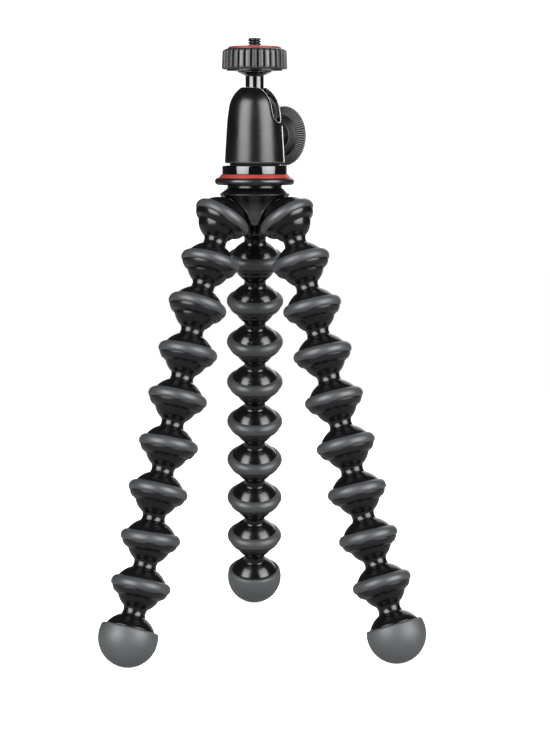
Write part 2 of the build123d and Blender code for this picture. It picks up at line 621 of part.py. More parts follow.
def ball_housing():
    """Ball housing: bore for ball and seat, mouth for the stem, portrait slot and bolt hole."""
    slot = Rot(0, 90, 0) * rod(SLOT_HALF_WIDTH, 0, HOUSING_RADIUS + OVERRUN)
    above = Box(
        HOUSING_RADIUS + OVERRUN, 2 * SLOT_HALF_WIDTH, HOUSING_HEIGHT - HEAD_BALL_HEIGHT + OVERRUN,
        align=(Align.MIN, Align.CENTER, Align.MIN),
    )
    body = housing_outside()
    body -= rod(HEAD_CAVITY_RADIUS, -OVERRUN, HEAD_BALL_HEIGHT)
    body -= Pos(0, 0, HEAD_BALL_HEIGHT) * Sphere(HEAD_CAVITY_RADIUS)
    body -= rod(HOUSING_MOUTH_RADIUS, HEAD_BALL_HEIGHT, HOUSING_HEIGHT + OVERRUN)
    body -= Rot(0, 0, SLOT_AZIMUTH) * Pos(0, 0, HEAD_BALL_HEIGHT) * (slot + above)
    return body - along_knob(rod(BOLT_RADIUS + BOLT_CLEARANCE, 0, KNOB_BOSS_END + OVERRUN), 0)


def bolt_point(room):
    """Pointed end of the knob's bolt, made larger all round by the room given."""
    return turned(
        (0, -BOLT_TIP_END - room),
        (BOLT_TIP_RADIUS + room, -BOLT_TIP_END - room),
        (BOLT_RADIUS + room, -BOLT_TIP_START - room),
        (BOLT_RADIUS + room, 0),
        (0, 0),
    )


def brake_seat():
    """Dished seat that the bolt's point lifts against the ball."""
    body = rod(HEAD_CAVITY_RADIUS - SEAT_CLEARANCE, SEAT_BOTTOM_HEIGHT, SEAT_BOTTOM_HEIGHT + SEAT_HEIGHT)
    body -= Pos(0, 0, HEAD_BALL_HEIGHT) * Sphere(HEAD_BALL_RADIUS + SEAT_BALL_GAP)
    return body - along_knob(bolt_point(SEAT_POCKET_ROOM), KNOB_FACE_DISTANCE)


def knob_washer():
    """Slip washer between the housing's boss and the knob."""
    ring = rod(KNOB_WASHER_RADIUS, 0, KNOB_WASHER_THICKNESS)
    return ring - rod(BOLT_RADIUS + BOLT_CLEARANCE, -OVERRUN, KNOB_WASHER_THICKNESS + OVERRUN)


def lock_knob():
    """Lock knob: flat inner face, a rim between two sloping grip bands, and pockets for bolt and cap."""
    cap_seat = KNOB_LENGTH - KNOB_CAP_THICKNESS
    body = turned(
        (0, 0),
        (KNOB_FACE_RADIUS, 0),
        (KNOB_RADIUS, KNOB_CONE_LENGTH),
        (KNOB_RADIUS, KNOB_RIM_END),
        (KNOB_OUTER_RADIUS, KNOB_LENGTH),
        (0, KNOB_LENGTH),
    )
    body -= rod(BOLT_RADIUS + SEAM_CLEARANCE, -OVERRUN, BOLT_HEX_START)
    body -= hexagon(BOLT_HEX_FLATS + SEAM_CLEARANCE, BOLT_HEX_START, cap_seat + SEAM_CLEARANCE)
    return body - rod(KNOB_CAP_RADIUS + KNOB_CAP_CLEARANCE, cap_seat, KNOB_LENGTH + OVERRUN)


def knob_cap():
    """Low domed cap that hides the bolt's head."""
    base = KNOB_LENGTH - KNOB_CAP_THICKNESS
    edge, crown = (KNOB_CAP_RADIUS, KNOB_LENGTH), (0, KNOB_LENGTH + KNOB_CAP_DOME)
    dome = (KNOB_CAP_RADIUS ** 2 + KNOB_CAP_DOME ** 2) / (2 * KNOB_CAP_DOME)
    middle = between(edge, crown, crown[1] - dome)
    return turned((0, base), (KNOB_CAP_RADIUS, base), edge, (middle, crown))


def knob_bolt():
    """Bolt with a hexagon head held in the knob and a point that reaches the brake seat."""
    shank = rod(BOLT_RADIUS, 0, BOLT_HEX_START + BOLT_HEX_LENGTH)
    head = hexagon(BOLT_HEX_FLATS, BOLT_HEX_START, BOLT_HEX_START + BOLT_HEX_LENGTH)
    return bolt_point(0) + shank + head


def ball_stem():
    """Head ball with its stem, flange and the spigot that the mounting disc turns on."""
    root = (STEM_RADIUS, rise(HEAD_BALL_RADIUS, STEM_RADIUS))
    bottom, side = (0, -HEAD_BALL_RADIUS), (HEAD_BALL_RADIUS, 0)
    body = turned(
        bottom,
        (between(bottom, side), side),
        (between(side, root), root),
        (STEM_RADIUS, STEM_FLARE_HEIGHT),
        (STEM_FLANGE_RADIUS, STEM_FLANGE_HEIGHT),
        (STEM_FLANGE_RADIUS, STEM_TOP_HEIGHT),
        (SPIGOT_RADIUS, STEM_TOP_HEIGHT),
        (SPIGOT_RADIUS, SPIGOT_HEIGHT),
        (0, SPIGOT_HEIGHT),
    )
    bore_end = SPIGOT_HEIGHT - SCREW_BORE_DEPTH
    return body - rod(CAMERA_SCREW_RADIUS + SEAM_CLEARANCE, bore_end, SPIGOT_HEIGHT + OVERRUN)


def camera_screw():
    """Quarter-inch camera screw, relieved under the pad's top, with the collar that keeps the disc on."""
    top = PAD_TOP + CAMERA_SCREW_RISE
    return turned(
        (0, SPIGOT_HEIGHT - SCREW_BORE_DEPTH + SEAM_CLEARANCE),
        (CAMERA_SCREW_RADIUS, SPIGOT_HEIGHT - SCREW_BORE_DEPTH + SEAM_CLEARANCE),
        (CAMERA_SCREW_RADIUS, SPIGOT_HEIGHT),
        (COLLAR_RADIUS, SPIGOT_HEIGHT),
        (COLLAR_RADIUS, SPIGOT_HEIGHT + COLLAR_THICKNESS),
        (CAMERA_SCREW_NECK_RADIUS, SPIGOT_HEIGHT + COLLAR_THICKNESS),
        (CAMERA_SCREW_NECK_RADIUS, PAD_TOP),
        (CAMERA_SCREW_RADIUS, PAD_TOP),
        (CAMERA_SCREW_RADIUS, top - CAMERA_SCREW_CHAMFER),
        (CAMERA_SCREW_RADIUS - CAMERA_SCREW_CHAMFER, top),
        (0, top),
    )


def mounting_disc():
    """Fluted wheel under the camera, with a step below, a bore for the spigot and a seat for the pad."""
    step, base, top = DISC_STEP_BOTTOM, DISC_BOTTOM, DISC_BOTTOM + DISC_THICKNESS
    body = turned(
        (0, step),
        (DISC_STEP_RADIUS, step),
        (DISC_STEP_RADIUS, base),
        (DISC_RADIUS - DISC_EDGE, base),
        (DISC_RADIUS, base + DISC_EDGE),
        (DISC_TOP_RADIUS, top - DISC_EDGE),
        (DISC_TOP_RADIUS - DISC_EDGE, top),
        (0, top),
    )
    flute = rod(FLUTE_RADIUS, base - OVERRUN, top + OVERRUN)
    out = DISC_RADIUS + FLUTE_RADIUS - FLUTE_DEPTH
    body -= [Rot(0, 0, index * 360 / FLUTE_COUNT) * Pos(out, 0, 0) * flute for index in range(FLUTE_COUNT)]
    body -= rod(SPIGOT_RADIUS + DISC_BORE_CLEARANCE, step - OVERRUN, top)
    body -= rod(COLLAR_RADIUS + DISC_COLLAR_ROOM, SPIGOT_HEIGHT - COLLAR_PLAY, top + OVERRUN)
    return body - rod(PAD_RADIUS + SEAM_CLEARANCE, PAD_BOTTOM, top + OVERRUN)


def disc_pad():
    """Rubber pad that the camera rests on."""
    hole = CAMERA_SCREW_RADIUS + PAD_HOLE_CLEARANCE
    return turned(
        (hole, PAD_BOTTOM),
        (PAD_RADIUS, PAD_BOTTOM),
        (PAD_RADIUS, PAD_TOP - PAD_EDGE),
        (PAD_RADIUS - PAD_EDGE, PAD_TOP),
        (hole, PAD_TOP),
    )


# Places that follow from the sizes above
SOCKET_HEIGHT = FOOT_RADIUS + leg_reach(LINK_LEANS["left"])[1]
HEAD_X, HEAD_Y = head_offset()
FLANGE_BOTTOM = HUB_TOP_HEIGHT
ACCENT_BOTTOM = FLANGE_BOTTOM + FLANGE_THICKNESS
PAN_BOTTOM = ACCENT_BOTTOM + ACCENT_THICKNESS
HOUSING_BOTTOM = SOCKET_HEIGHT + PAN_BOTTOM + PAN_THICKNESS + PAN_SHOULDER_HEIGHT + PAN_GAP


def hub_nodes():
    """Pieces of the hub and the panning base, which stay still."""
    at_hub = Pos(HEAD_X, HEAD_Y, SOCKET_HEIGHT)
    rings = Compound([at_hub * place * grip_ring(0) for place in socket_places()])
    return {
        "hub_body": at_hub * hub_body(),
        "hub_grip_rings": rings,
        "hub_stud": at_hub * hub_stud(),
        "base_flange": at_hub * Pos(0, 0, FLANGE_BOTTOM) * base_flange(),
        "accent_ring": at_hub * Pos(0, 0, ACCENT_BOTTOM) * accent_ring(),
        "pan_base": at_hub * Pos(0, 0, PAN_BOTTOM) * pan_base(),
    }


def housing_nodes():
    """Pieces that pan with the housing, and the fasteners that hold it down."""
    at_housing = Pos(HEAD_X, HEAD_Y, HOUSING_BOTTOM)
    washer_top = PAN_WASHER_HEIGHT + PAN_WASHER_THICKNESS
    knob = {
        "knob_washer": (knob_washer(), KNOB_BOSS_END),
        "lock_knob": (lock_knob(), KNOB_FACE_DISTANCE),
        "knob_bolt": (knob_bolt(), KNOB_FACE_DISTANCE),
        "knob_cap": (knob_cap(), KNOB_FACE_DISTANCE),
    }
    nodes = {
        "pan_washer": at_housing * Pos(0, 0, PAN_WASHER_HEIGHT) * pan_washer(),
        "pan_screw": at_housing * Pos(0, 0, washer_top) * pan_screw(),
        "housing_floor": at_housing * housing_floor(),
        "ball_housing": at_housing * ball_housing(),
        "brake_seat": at_housing * brake_seat(),
    }
    nodes.update({name: at_housing * along_knob(shape, out) for name, (shape, out) in knob.items()})
    return nodes


def stem_nodes():
    """Pieces that tilt with the head's ball."""
    at_ball = Pos(HEAD_X, HEAD_Y, HOUSING_BOTTOM + HEAD_BALL_HEIGHT)
    shapes = {
        "ball_stem": ball_stem(),
        "camera_screw": camera_screw(),
        "mounting_disc": mounting_disc(),
        "disc_pad": disc_pad(),
    }
    return {name: at_ball * shape for name, shape in shapes.items()}


def leg_nodes():
    """Links, foot and boot of each leg, a ringed link being one node of two solids."""
    link, ring, foot, boot = link_body(), grip_ring(BALL_PITCH), foot_body(), foot_boot()
    nodes = {}
    for leg in LEG_AZIMUTHS:
        places = link_places(leg)
        for number, place in enumerate(places[:-1], start=1):
            nodes[f"{leg}_link_{number}"] = Compound([place * link, place * ring])
        nodes[f"{leg}_foot"] = places[-1] * foot
        nodes[f"{leg}_boot"] = places[-1] * boot
    return nodes


def all_nodes():
    """Every sub-part by name, in its place."""
    return {**hub_nodes(), **housing_nodes(), **stem_nodes(), **leg_nodes()}


if __name__ == "__main__":
    os.makedirs("parts", exist_ok=True)
    for node, shape in all_nodes().items():
        export_step(shape, f"parts/{node}.step")
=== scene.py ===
"""Looks of a flexible leg tripod with a ball head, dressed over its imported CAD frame.

The head's stack, the hub and the three legs of ball-and-socket links are turned pieces. They are
drawn in millimetres about their own axis, placed in metres in the frame's coordinates, and each
one rides on its CAD body.
"""

from __future__ import annotations

import json
import logging
import math
from dataclasses import dataclass
from enum import Enum
from typing import Any, Iterable, Sequence

import bmesh
import bpy
from mathutils import Matrix, Vector

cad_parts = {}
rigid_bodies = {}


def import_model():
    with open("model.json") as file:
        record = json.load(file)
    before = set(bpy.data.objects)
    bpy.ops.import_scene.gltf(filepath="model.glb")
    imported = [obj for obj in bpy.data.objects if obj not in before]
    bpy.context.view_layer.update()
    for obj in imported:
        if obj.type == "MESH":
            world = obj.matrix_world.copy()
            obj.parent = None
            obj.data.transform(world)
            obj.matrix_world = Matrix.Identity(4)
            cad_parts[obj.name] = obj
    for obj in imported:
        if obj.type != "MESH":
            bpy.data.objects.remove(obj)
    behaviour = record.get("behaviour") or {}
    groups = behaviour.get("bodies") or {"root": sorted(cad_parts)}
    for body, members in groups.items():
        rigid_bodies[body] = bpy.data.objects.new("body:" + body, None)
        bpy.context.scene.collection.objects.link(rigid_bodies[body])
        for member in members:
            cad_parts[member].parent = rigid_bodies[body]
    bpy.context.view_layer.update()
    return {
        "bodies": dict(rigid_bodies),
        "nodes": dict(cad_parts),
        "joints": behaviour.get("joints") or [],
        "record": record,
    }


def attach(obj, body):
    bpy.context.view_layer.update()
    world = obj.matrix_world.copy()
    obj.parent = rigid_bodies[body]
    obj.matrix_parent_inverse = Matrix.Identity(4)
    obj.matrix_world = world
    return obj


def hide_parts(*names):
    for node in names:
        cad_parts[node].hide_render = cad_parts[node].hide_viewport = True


LOG = logging.getLogger("leg_tripod")
MM = 0.001
ON_AXIS = 1e-6
SAME_POINT = 1e-4
SAME_CORNER = 1e-3
Point = tuple[float, float]
Masked = tuple[float, float, float]
Colour = tuple[float, float, float]


class Slot(Enum):
    """Material slots of the record that the pieces take their finish from."""

    LINK = "link_plastic"
    GRIP = "grip_rubber"
    BOOT = "boot_rubber"
    HUB = "hub_plastic"
    FLANGE = "flange_plastic"
    ACCENT = "accent_red"
    PAN = "pan_gloss"
    HOUSING = "housing_coat"
    STEM = "stem_coat"
    DISC = "disc_plastic"
    PAD = "pad_rubber"
    KNOB = "knob_plastic"
    SCREW = "screw_black"
    STEEL = "steel"
    SEAT = "seat_plastic"


class Leg(Enum):
    """The three legs, by the side that they stand on."""

    LEFT = "left"
    RIGHT = "right"
    BACK = "back"


class Carve(Enum):
    """How one solid changes another."""

    CUT = "DIFFERENCE"
    JOIN = "UNION"


def rise(sphere: float, radius: float) -> float:
    """Height on a sphere above its centre, at a distance from its axis."""
    return math.sqrt(max(sphere**2 - radius**2, 0.0))


def between(first: Masked, second: Masked, share: float) -> Masked:
    """Point part of the way from one point to another, its mask with it."""
    x, y, mask = (a + (b - a) * share for a, b in zip(first, second))
    return x, y, mask


class Outline:
    """A line in (radius, height) with arcs, softened corners and a mask for each of its points."""

    MOST_OF_A_SIDE = 0.49

    def __init__(self, start: Point, mask: float = 0.0) -> None:
        """Starts the line.

        Args:
            start: First point, in millimetres.
            mask: Value kept for the point, read by a material or a relief.
        """
        self.points: list[Masked] = [(start[0], start[1], mask)]
        self.soft: dict[int, float] = {}

    def to(self, *points: Point, mask: float = 0.0, soft: float = 0.0) -> "Outline":
        """Adds straight runs.

        Args:
            points: Points to run to, in order.
            mask: Value kept for them.
            soft: Length of each side that a softened corner takes.

        Returns:
            The outline itself.
        """
        for radius, height in points:
            self.points.append((radius, height, mask))
            if soft:
                self.soft[len(self.points) - 1] = soft
        return self

    def arc(self, middle: Point, end: Point, steps: int = 16, mask: float = 0.0,
            soft: float = 0.0) -> "Outline":
        """Adds a circular arc through a middle point.

        Args:
            middle: Point that the arc passes through.
            end: Point that it ends at.
            steps: Number of straight pieces.
            mask: Value kept for its points.
            soft: Softening of the corner at its end.

        Returns:
            The outline itself.
        """
        ax, ay = self.points[-1][:2]
        bx, by = middle
        cx, cy = end
        d = 2 * (ax * (by - cy) + bx * (cy - ay) + cx * (ay - by))
        sa, sb, sc = ax * ax + ay * ay, bx * bx + by * by, cx * cx + cy * cy
        ox = (sa * (by - cy) + sb * (cy - ay) + sc * (ay - by)) / d
        oy = (sa * (cx - bx) + sb * (ax - cx) + sc * (bx - ax)) / d
        radius = math.hypot(ax - ox, ay - oy)
        first, half, last = (math.atan2(y - oy, x - ox) for x, y in ((ax, ay), middle, end))
        turn = (last - first) % math.tau
        if (half - first) % math.tau > turn:
            turn -= math.tau
        for step in range(1, steps + 1):
            angle = first + turn * step / steps
            across = max(ox + radius * math.cos(angle), 0.0)
            self.points.append((across, oy + radius * math.sin(angle), mask))
        self.points[-1] = (cx, cy, mask)
        if soft:
            self.soft[len(self.points) - 1] = soft
        return self

    def ball(self, sphere: float, centre: float, end: Point, steps: int = 16, mask: float = 0.0,
             soft: float = 0.0) -> "Outline":
        """Adds the shorter arc of a sphere on the axis.

        Args:
            sphere: Radius of the sphere.
            centre: Height of its centre.
            end: Point that the arc ends at.
            steps: Number of straight pieces.
            mask: Value kept for its points.
            soft: Softening of the corner at its end.

        Returns:
            The outline itself.
        """
        here = self.points[-1]
        across, up = here[0] + end[0], here[1] + end[1] - 2 * centre
        scale = sphere / math.hypot(across, up)
        return self.arc((across * scale, centre + up * scale), end, steps, mask, soft)

    def _walk(self, index: int, way: int, length: float) -> Masked:
        """Finds the point a length along the line from one of its points.

        Args:
            index: Number of the point to start from.
            way: 1 to go on along the line, -1 to go back.
            length: How far to go. It stops short of the next softened corner.

        Returns:
            The point, with its mask.
        """
        count = len(self.points)
        here, left = self.points[index], length
        while True:
            index = (index + way) % count
            there = self.points[index]
            run = math.hypot(there[0] - here[0], there[1] - here[1])
            if run >= left or index in self.soft:
                return between(here, there, min(left / run, self.MOST_OF_A_SIDE) if run else 0.0)
            here, left = there, left - run

    def softened(self, steps: int = 5) -> list[Masked]:
        """The line with its soft corners rounded.

        Args:
            steps: Number of straight pieces for each corner.

        Returns:
            Points of radius, height and mask.
        """
        line: list[Masked] = []
        skip = [(self.points[i][:2], size) for i, size in self.soft.items()]
        for index, point in enumerate(self.points):
            if index in self.soft:
                size = self.soft[index]
                before, after = self._walk(index, -1, size), self._walk(index, 1, size)
                for step in range(steps + 1):
                    t = step / steps
                    x, y, mask = (a * (1 - t) ** 2 + 2 * b * t * (1 - t) + c * t**2
                                  for a, b, c in zip(before, point, after))
                    line.append((x, y, mask))
            elif all(math.dist(point[:2], corner) > size for corner, size in skip):
                line.append(point)
        return line


def made(bm: bmesh.types.BMesh, name: str, outwards: bool = True) -> bpy.types.Mesh:
    """Mesh of the faces built so far, whose builder is then freed.

    Args:
        bm: Builder that holds the faces.
        name: Name of the mesh.
        outwards: True to turn the faces outwards first.

    Returns:
        The mesh.
    """
    if outwards:
        bmesh.ops.recalc_face_normals(bm, faces=bm.faces)
    mesh = bpy.data.meshes.new(name)
    bm.to_mesh(mesh)
    bm.free()
    return mesh


def band(bm: bmesh.types.BMesh, first: Sequence[bmesh.types.BMVert],
         second: Sequence[bmesh.types.BMVert], closed: bool = False) -> None:
    """Joins two rows of points by four-sided faces.

    Args:
        bm: Builder that takes the faces.
        first: Points of the first row.
        second: As many points of the second row.
        closed: True where the last points meet the first ones again.
    """
    rows = [[*row[1:], *row[:1 if closed else 0]] for row in (first, second)]
    for corners in zip(first, rows[0], rows[1], second):
        bm.faces.new(corners)


def turned(name: str, outline: Outline, segments: int = 96, ring: bool = False) -> bpy.types.Mesh:
    """Closed mesh turned about Z from an outline.

    Args:
        name: Name of the mesh.
        outline: Line from axis to axis, or a closed loop.
        segments: Number of divisions round the axis.
        ring: True for a closed loop that stays off the axis.

    Returns:
        The mesh, in millimetres, with the outline's mask as its "mask" attribute.
    """
    line = outline.softened()
    bm = bmesh.new()
    layer = bm.verts.layers.float.new("mask")
    rows: list[list[bmesh.types.BMVert]] = []
    for radius, height, mask in line:
        around = 1 if radius < ON_AXIS else segments
        row = []
        for step in range(around):
            angle = math.tau * step / segments
            vert = bm.verts.new((radius * math.cos(angle), radius * math.sin(angle), height))
            vert[layer] = mask
            row.append(vert)
        rows.append(row)
    pairs = list(zip(rows, rows[1:])) + ([(rows[-1], rows[0])] if ring else [])
    for upper, lower in pairs:
        for step in range(segments):
            corner = [
                upper[step % len(upper)], lower[step % len(lower)],
                lower[(step + 1) % len(lower)], upper[(step + 1) % len(upper)],
            ]
            face = list(dict.fromkeys(corner))
            if len(face) > 2:
                bm.faces.new(face).smooth = True
    return made(bm, name)


def rod(radius: float, low: float, high: float, soft: float = 0.0) -> Outline:
    """Outline of a round rod, its upper edge softened where a length is given."""
    return Outline((0, high)).to((radius, high), soft=soft).to((radius, low), (0, low))


class NodeWriter:
    """Adds nodes to a tree and joins them."""

    def __init__(self, tree: bpy.types.NodeTree) -> None:
        """Keeps the tree that the nodes go into."""
        self.tree = tree

    def add(self, kind: str, inputs: dict[Any, Any] | None = None,
            **settings: Any) -> bpy.types.Node:
        """Adds one node.

        Args:
            kind: Blender's name for the node's type.
            inputs: Value or socket for each input, by its name or number.
            settings: Properties of the node.

        Returns:
            The node.
        """
        node = self.tree.nodes.new(kind)
        for key, value in settings.items():
            setattr(node, key, value)
        for key, value in (inputs or {}).items():
            if isinstance(value, bpy.types.NodeSocket):
                self.tree.links.new(value, node.inputs[key])
            else:
                node.inputs[key].default_value = value
        return node

    def maths(self, operation: str, *values: Any, clamp: bool = False) -> bpy.types.NodeSocket:
        """Adds a Math node and gives its result."""
        return self.add("ShaderNodeMath", dict(enumerate(values)), operation=operation,
                        use_clamp=clamp).outputs[0]

    def mixed(self, first: Any, second: Any, factor: bpy.types.NodeSocket) -> bpy.types.NodeSocket:
        """Mixes two colours.

        Args:
            first: Colour or socket at a factor of 0.
            second: Colour or socket at a factor of 1.
            factor: Share of the second.

        Returns:
            The mixed colour.
        """
        node = self.add("ShaderNodeMix", {"Factor": factor}, data_type="RGBA")
        sockets = [socket for socket in node.inputs if socket.type == "RGBA"]
        for socket, value in zip(sockets, (first, second)):
            if isinstance(value, bpy.types.NodeSocket):
                self.tree.links.new(value, socket)
            else:
                socket.default_value = (*value, 1.0)
        return next(socket for socket in node.outputs if socket.type == "RGBA")

    def open(self, inputs: Sequence[tuple[str, str, Any]],
             outputs: Sequence[tuple[str, str]]) -> bpy.types.Node:
        """Gives a group its sockets.

        Args:
            inputs: Name, socket type and default of each input.
            outputs: Name and socket type of each output.

        Returns:
            The group's input node.
        """
        for name, kind, default in inputs:
            socket = self.tree.interface.new_socket(name, in_out="INPUT", socket_type=kind)
            if default is not None:
                socket.default_value = default
        for name, kind in outputs:
            self.tree.interface.new_socket(name, in_out="OUTPUT", socket_type=kind)
        return self.add("NodeGroupInput")

    def close(self, outputs: dict[str, bpy.types.NodeSocket]) -> None:
        """Joins the results to the group's output node."""
        self.add("NodeGroupOutput", outputs)

    def close_dressed(self, geometry: bpy.types.NodeSocket, material: bpy.types.NodeSocket) -> None:
        """Ends a geometry tree: its instances are made real and take their material.

        Args:
            geometry: What the tree has made.
            material: Material that it takes.
        """
        real = self.add("GeometryNodeRealizeInstances", {0: geometry})
        dressed = self.add("GeometryNodeSetMaterial",
                           {"Geometry": real.outputs[0], "Material": material})
        self.close({"Geometry": dressed.outputs[0]})


def float_input(name: str, default: float) -> tuple[str, str, float]:
    """Description of a plain number input of a group."""
    return (name, "NodeSocketFloat", default)


@dataclass(frozen=True)
class Relief:
    """Radial relief of a turned piece: flutes, grip ridges or a screw thread.

    A ridge count round the axis and a lead along it give the phase. The mask attribute limits it.
    """

    count: int
    depth: float
    land: float
    slope: float
    turns_per_mm: float = 0.0

    @staticmethod
    def tree() -> bpy.types.NodeTree:
        """Geometry node tree that all reliefs share.

        Returns:
            The tree, with an input for each size. It keeps how far each point is sunk as "sunk",
            which the finishes use for painted shade in the grooves.
        """
        tree = bpy.data.node_groups.get("radial_relief")
        if tree:
            return tree
        tree = bpy.data.node_groups.new("radial_relief", "GeometryNodeTree")
        make = NodeWriter(tree)
        source = make.open(
            [("Geometry", "NodeSocketGeometry", None), float_input("Count", 26.0),
             float_input("Depth", 0.4),
             float_input("Land", 0.4), float_input("Slope", 0.2),
             float_input("Turns per mm", 0.0), ("Material", "NodeSocketMaterial", None)],
            [("Geometry", "NodeSocketGeometry")],
        )
        position = make.add("GeometryNodeInputPosition").outputs[0]
        apart = make.add("ShaderNodeSeparateXYZ", {0: position})
        angle = make.maths("ARCTAN2", apart.outputs[1], apart.outputs[0])
        turns = make.maths("DIVIDE", angle, math.tau)
        around = make.maths("MULTIPLY", turns, source.outputs["Count"])
        along = make.maths("MULTIPLY", apart.outputs[2], source.outputs["Turns per mm"])
        phase = make.maths("FRACT", make.maths("SUBTRACT", around, along))
        from_middle = make.maths("ABSOLUTE", make.maths("SUBTRACT", phase, 0.5))
        wave = make.maths("MULTIPLY", from_middle, 2.0)
        far = make.maths("ADD", source.outputs["Land"], source.outputs["Slope"])
        shape = make.add("ShaderNodeMapRange",
                         {0: wave, 1: source.outputs["Land"], 2: far, 3: 0.0, 4: 1.0},
                         interpolation_type="SMOOTHSTEP").outputs[0]
        mask = make.add("GeometryNodeInputNamedAttribute", {"Name": "mask"},
                        data_type="FLOAT").outputs[0]
        share = make.maths("MULTIPLY", shape, mask)
        sunk = make.maths("MULTIPLY", share, source.outputs["Depth"])
        flat = make.add("ShaderNodeCombineXYZ",
                        {0: apart.outputs[0], 1: apart.outputs[1], 2: 0.0}).outputs[0]
        outward = make.add("ShaderNodeVectorMath", {0: flat}, operation="NORMALIZE").outputs[0]
        back = make.maths("MULTIPLY", sunk, -1.0)
        offset = make.add("ShaderNodeVectorMath", {0: outward, 3: back},
                          operation="SCALE").outputs[0]
        moved = make.add("GeometryNodeSetPosition",
                         {"Geometry": source.outputs[0], "Offset": offset})
        kept = make.add("GeometryNodeStoreNamedAttribute",
                        {"Geometry": moved.outputs[0], "Name": "sunk", "Value": share},
                        data_type="FLOAT")
        make.close_dressed(kept.outputs[0], source.outputs["Material"])
        return tree

    def values(self) -> dict[str, float]:
        """Lists the tree's inputs for this relief.

        Returns:
            The value of each input, by its name.
        """
        return {
            "Count": float(self.count), "Depth": self.depth, "Land": self.land,
            "Slope": self.slope, "Turns per mm": self.turns_per_mm,
        }

    def on(self, mesh: bpy.types.Mesh, slot: Slot, name: str) -> bpy.types.Mesh:
        """Cuts the relief into a turned mesh.

        Args:
            mesh: Turned mesh, in millimetres about its own axis.
            slot: Material slot that it takes its finish from.
            name: Name of the mesh that results.

        Returns:
            The mesh with its relief.
        """
        values = {**self.values(), "Material": FINISHES[slot].build()}
        return grown(mesh, Relief.tree(), values, name)


def chain_tree() -> bpy.types.NodeTree:
    """Geometry node tree that sets a unit piece on one joint of a leg's line of joints.

    Returns:
        The tree. Its points carry the direction of each link as the "axis" attribute.
    """
    tree = bpy.data.node_groups.get("link_on_chain")
    if tree:
        return tree
    tree = bpy.data.node_groups.new("link_on_chain", "GeometryNodeTree")
    make = NodeWriter(tree)
    source = make.open(
        [("Geometry", "NodeSocketGeometry", None), ("Unit", "NodeSocketObject", None),
         ("Number", "NodeSocketInt", 0), float_input("Scale", MM),
         ("Material", "NodeSocketMaterial", None)],
        [("Geometry", "NodeSocketGeometry")],
    )
    index = make.add("GeometryNodeInputIndex").outputs[0]
    chosen = make.add("FunctionNodeCompare", data_type="INT", operation="EQUAL")
    whole = [socket for socket in chosen.inputs if socket.type == "INT"]
    tree.links.new(index, whole[0])
    tree.links.new(source.outputs["Number"], whole[1])
    unit = make.add("GeometryNodeObjectInfo", {"Object": source.outputs["Unit"]})
    axis = make.add("GeometryNodeInputNamedAttribute", {"Name": "axis"},
                    data_type="FLOAT_VECTOR").outputs[0]
    turn = make.add("FunctionNodeAlignRotationToVector", {"Vector": axis}, axis="Z").outputs[0]
    size = make.add("ShaderNodeCombineXYZ",
                    {i: source.outputs["Scale"] for i in range(3)}).outputs[0]
    instances = make.add("GeometryNodeInstanceOnPoints", {
        "Points": source.outputs[0], "Selection": chosen.outputs[0],
        "Instance": unit.outputs["Geometry"], "Rotation": turn, "Scale": size,
    })
    make.close_dressed(instances.outputs[0], source.outputs["Material"])
    return tree


def grown(base: bpy.types.Mesh, tree: bpy.types.NodeTree, values: dict[str, Any],
          name: str) -> bpy.types.Mesh:
    """Plain mesh that a geometry node tree makes from a base mesh.

    Args:
        base: Mesh that the tree starts from.
        tree: Tree to run.
        values: Value of each input of the tree, by its name.
        name: Name of the mesh that results.

    Returns:
        The mesh, with no modifier left.
    """
    holder = bpy.data.objects.new(f"{name}_grower", base)
    bpy.context.scene.collection.objects.link(holder)
    modifier = holder.modifiers.new("grow", "NODES")
    modifier.node_group = tree
    for item in tree.interface.items_tree:
        if item.item_type == "SOCKET" and item.in_out == "INPUT" and item.name in values:
            modifier[item.identifier] = values[item.name]
    graph = bpy.context.evaluated_depsgraph_get()
    mesh = bpy.data.meshes.new_from_object(holder.evaluated_get(graph))
    mesh.name = name
    bpy.data.objects.remove(holder)
    return mesh


def carved(target: bpy.types.Mesh, tools: Iterable[tuple[Carve, bpy.types.Mesh]],
           crease: float) -> bpy.types.Mesh:
    """Solid cut by, or joined with, other solids in turn.

    Args:
        target: Closed mesh to change.
        tools: How each closed mesh changes it.
        crease: Angle in degrees past which an edge shades sharp.

    Returns:
        The carved mesh.
    """
    mesh = target
    for how, tool in tools:
        holder = bpy.data.objects.new("carve_target", mesh)
        other = bpy.data.objects.new("carve_tool", tool)
        for thing in (holder, other):
            bpy.context.scene.collection.objects.link(thing)
        modifier = holder.modifiers.new("carve", "BOOLEAN")
        modifier.object, modifier.operation, modifier.solver = other, how.value, "EXACT"
        graph = bpy.context.evaluated_depsgraph_get()
        mesh = bpy.data.meshes.new_from_object(holder.evaluated_get(graph))
        bpy.data.objects.remove(holder)
        bpy.data.objects.remove(other)
    bm = bmesh.new()
    bm.from_mesh(mesh)
    bmesh.ops.remove_doubles(bm, verts=bm.verts, dist=SAME_POINT)
    bm.to_mesh(mesh)
    bm.free()
    mesh.shade_smooth()
    mesh.set_sharp_from_angle(angle=math.radians(crease))
    return mesh


def merged(meshes: Sequence[bpy.types.Mesh], name: str) -> bpy.types.Mesh:
    """Puts several closed shells in one mesh, each kept as it is.

    Args:
        meshes: The shells.
        name: Name of the mesh that results.

    Returns:
        The mesh.
    """
    bm = bmesh.new()
    for mesh in meshes:
        bm.from_mesh(mesh)
    return made(bm, name, outwards=False)


def blend(places: Sequence[float], values: Sequence[float], place: float) -> float:
    """Finds the value at a place.

    Args:
        places: Places where the values are known, rising.
        values: Value at each of them.
        place: Place that is asked for.

    Returns:
        The value there, on the straight run between its neighbours.
    """
    for low, high, first, last in zip(places, places[1:], values, values[1:]):
        if place <= high:
            share = (place - low) / (high - low) if high > low else 0.0
            return first + (last - first) * max(share, 0.0)
    return values[-1]


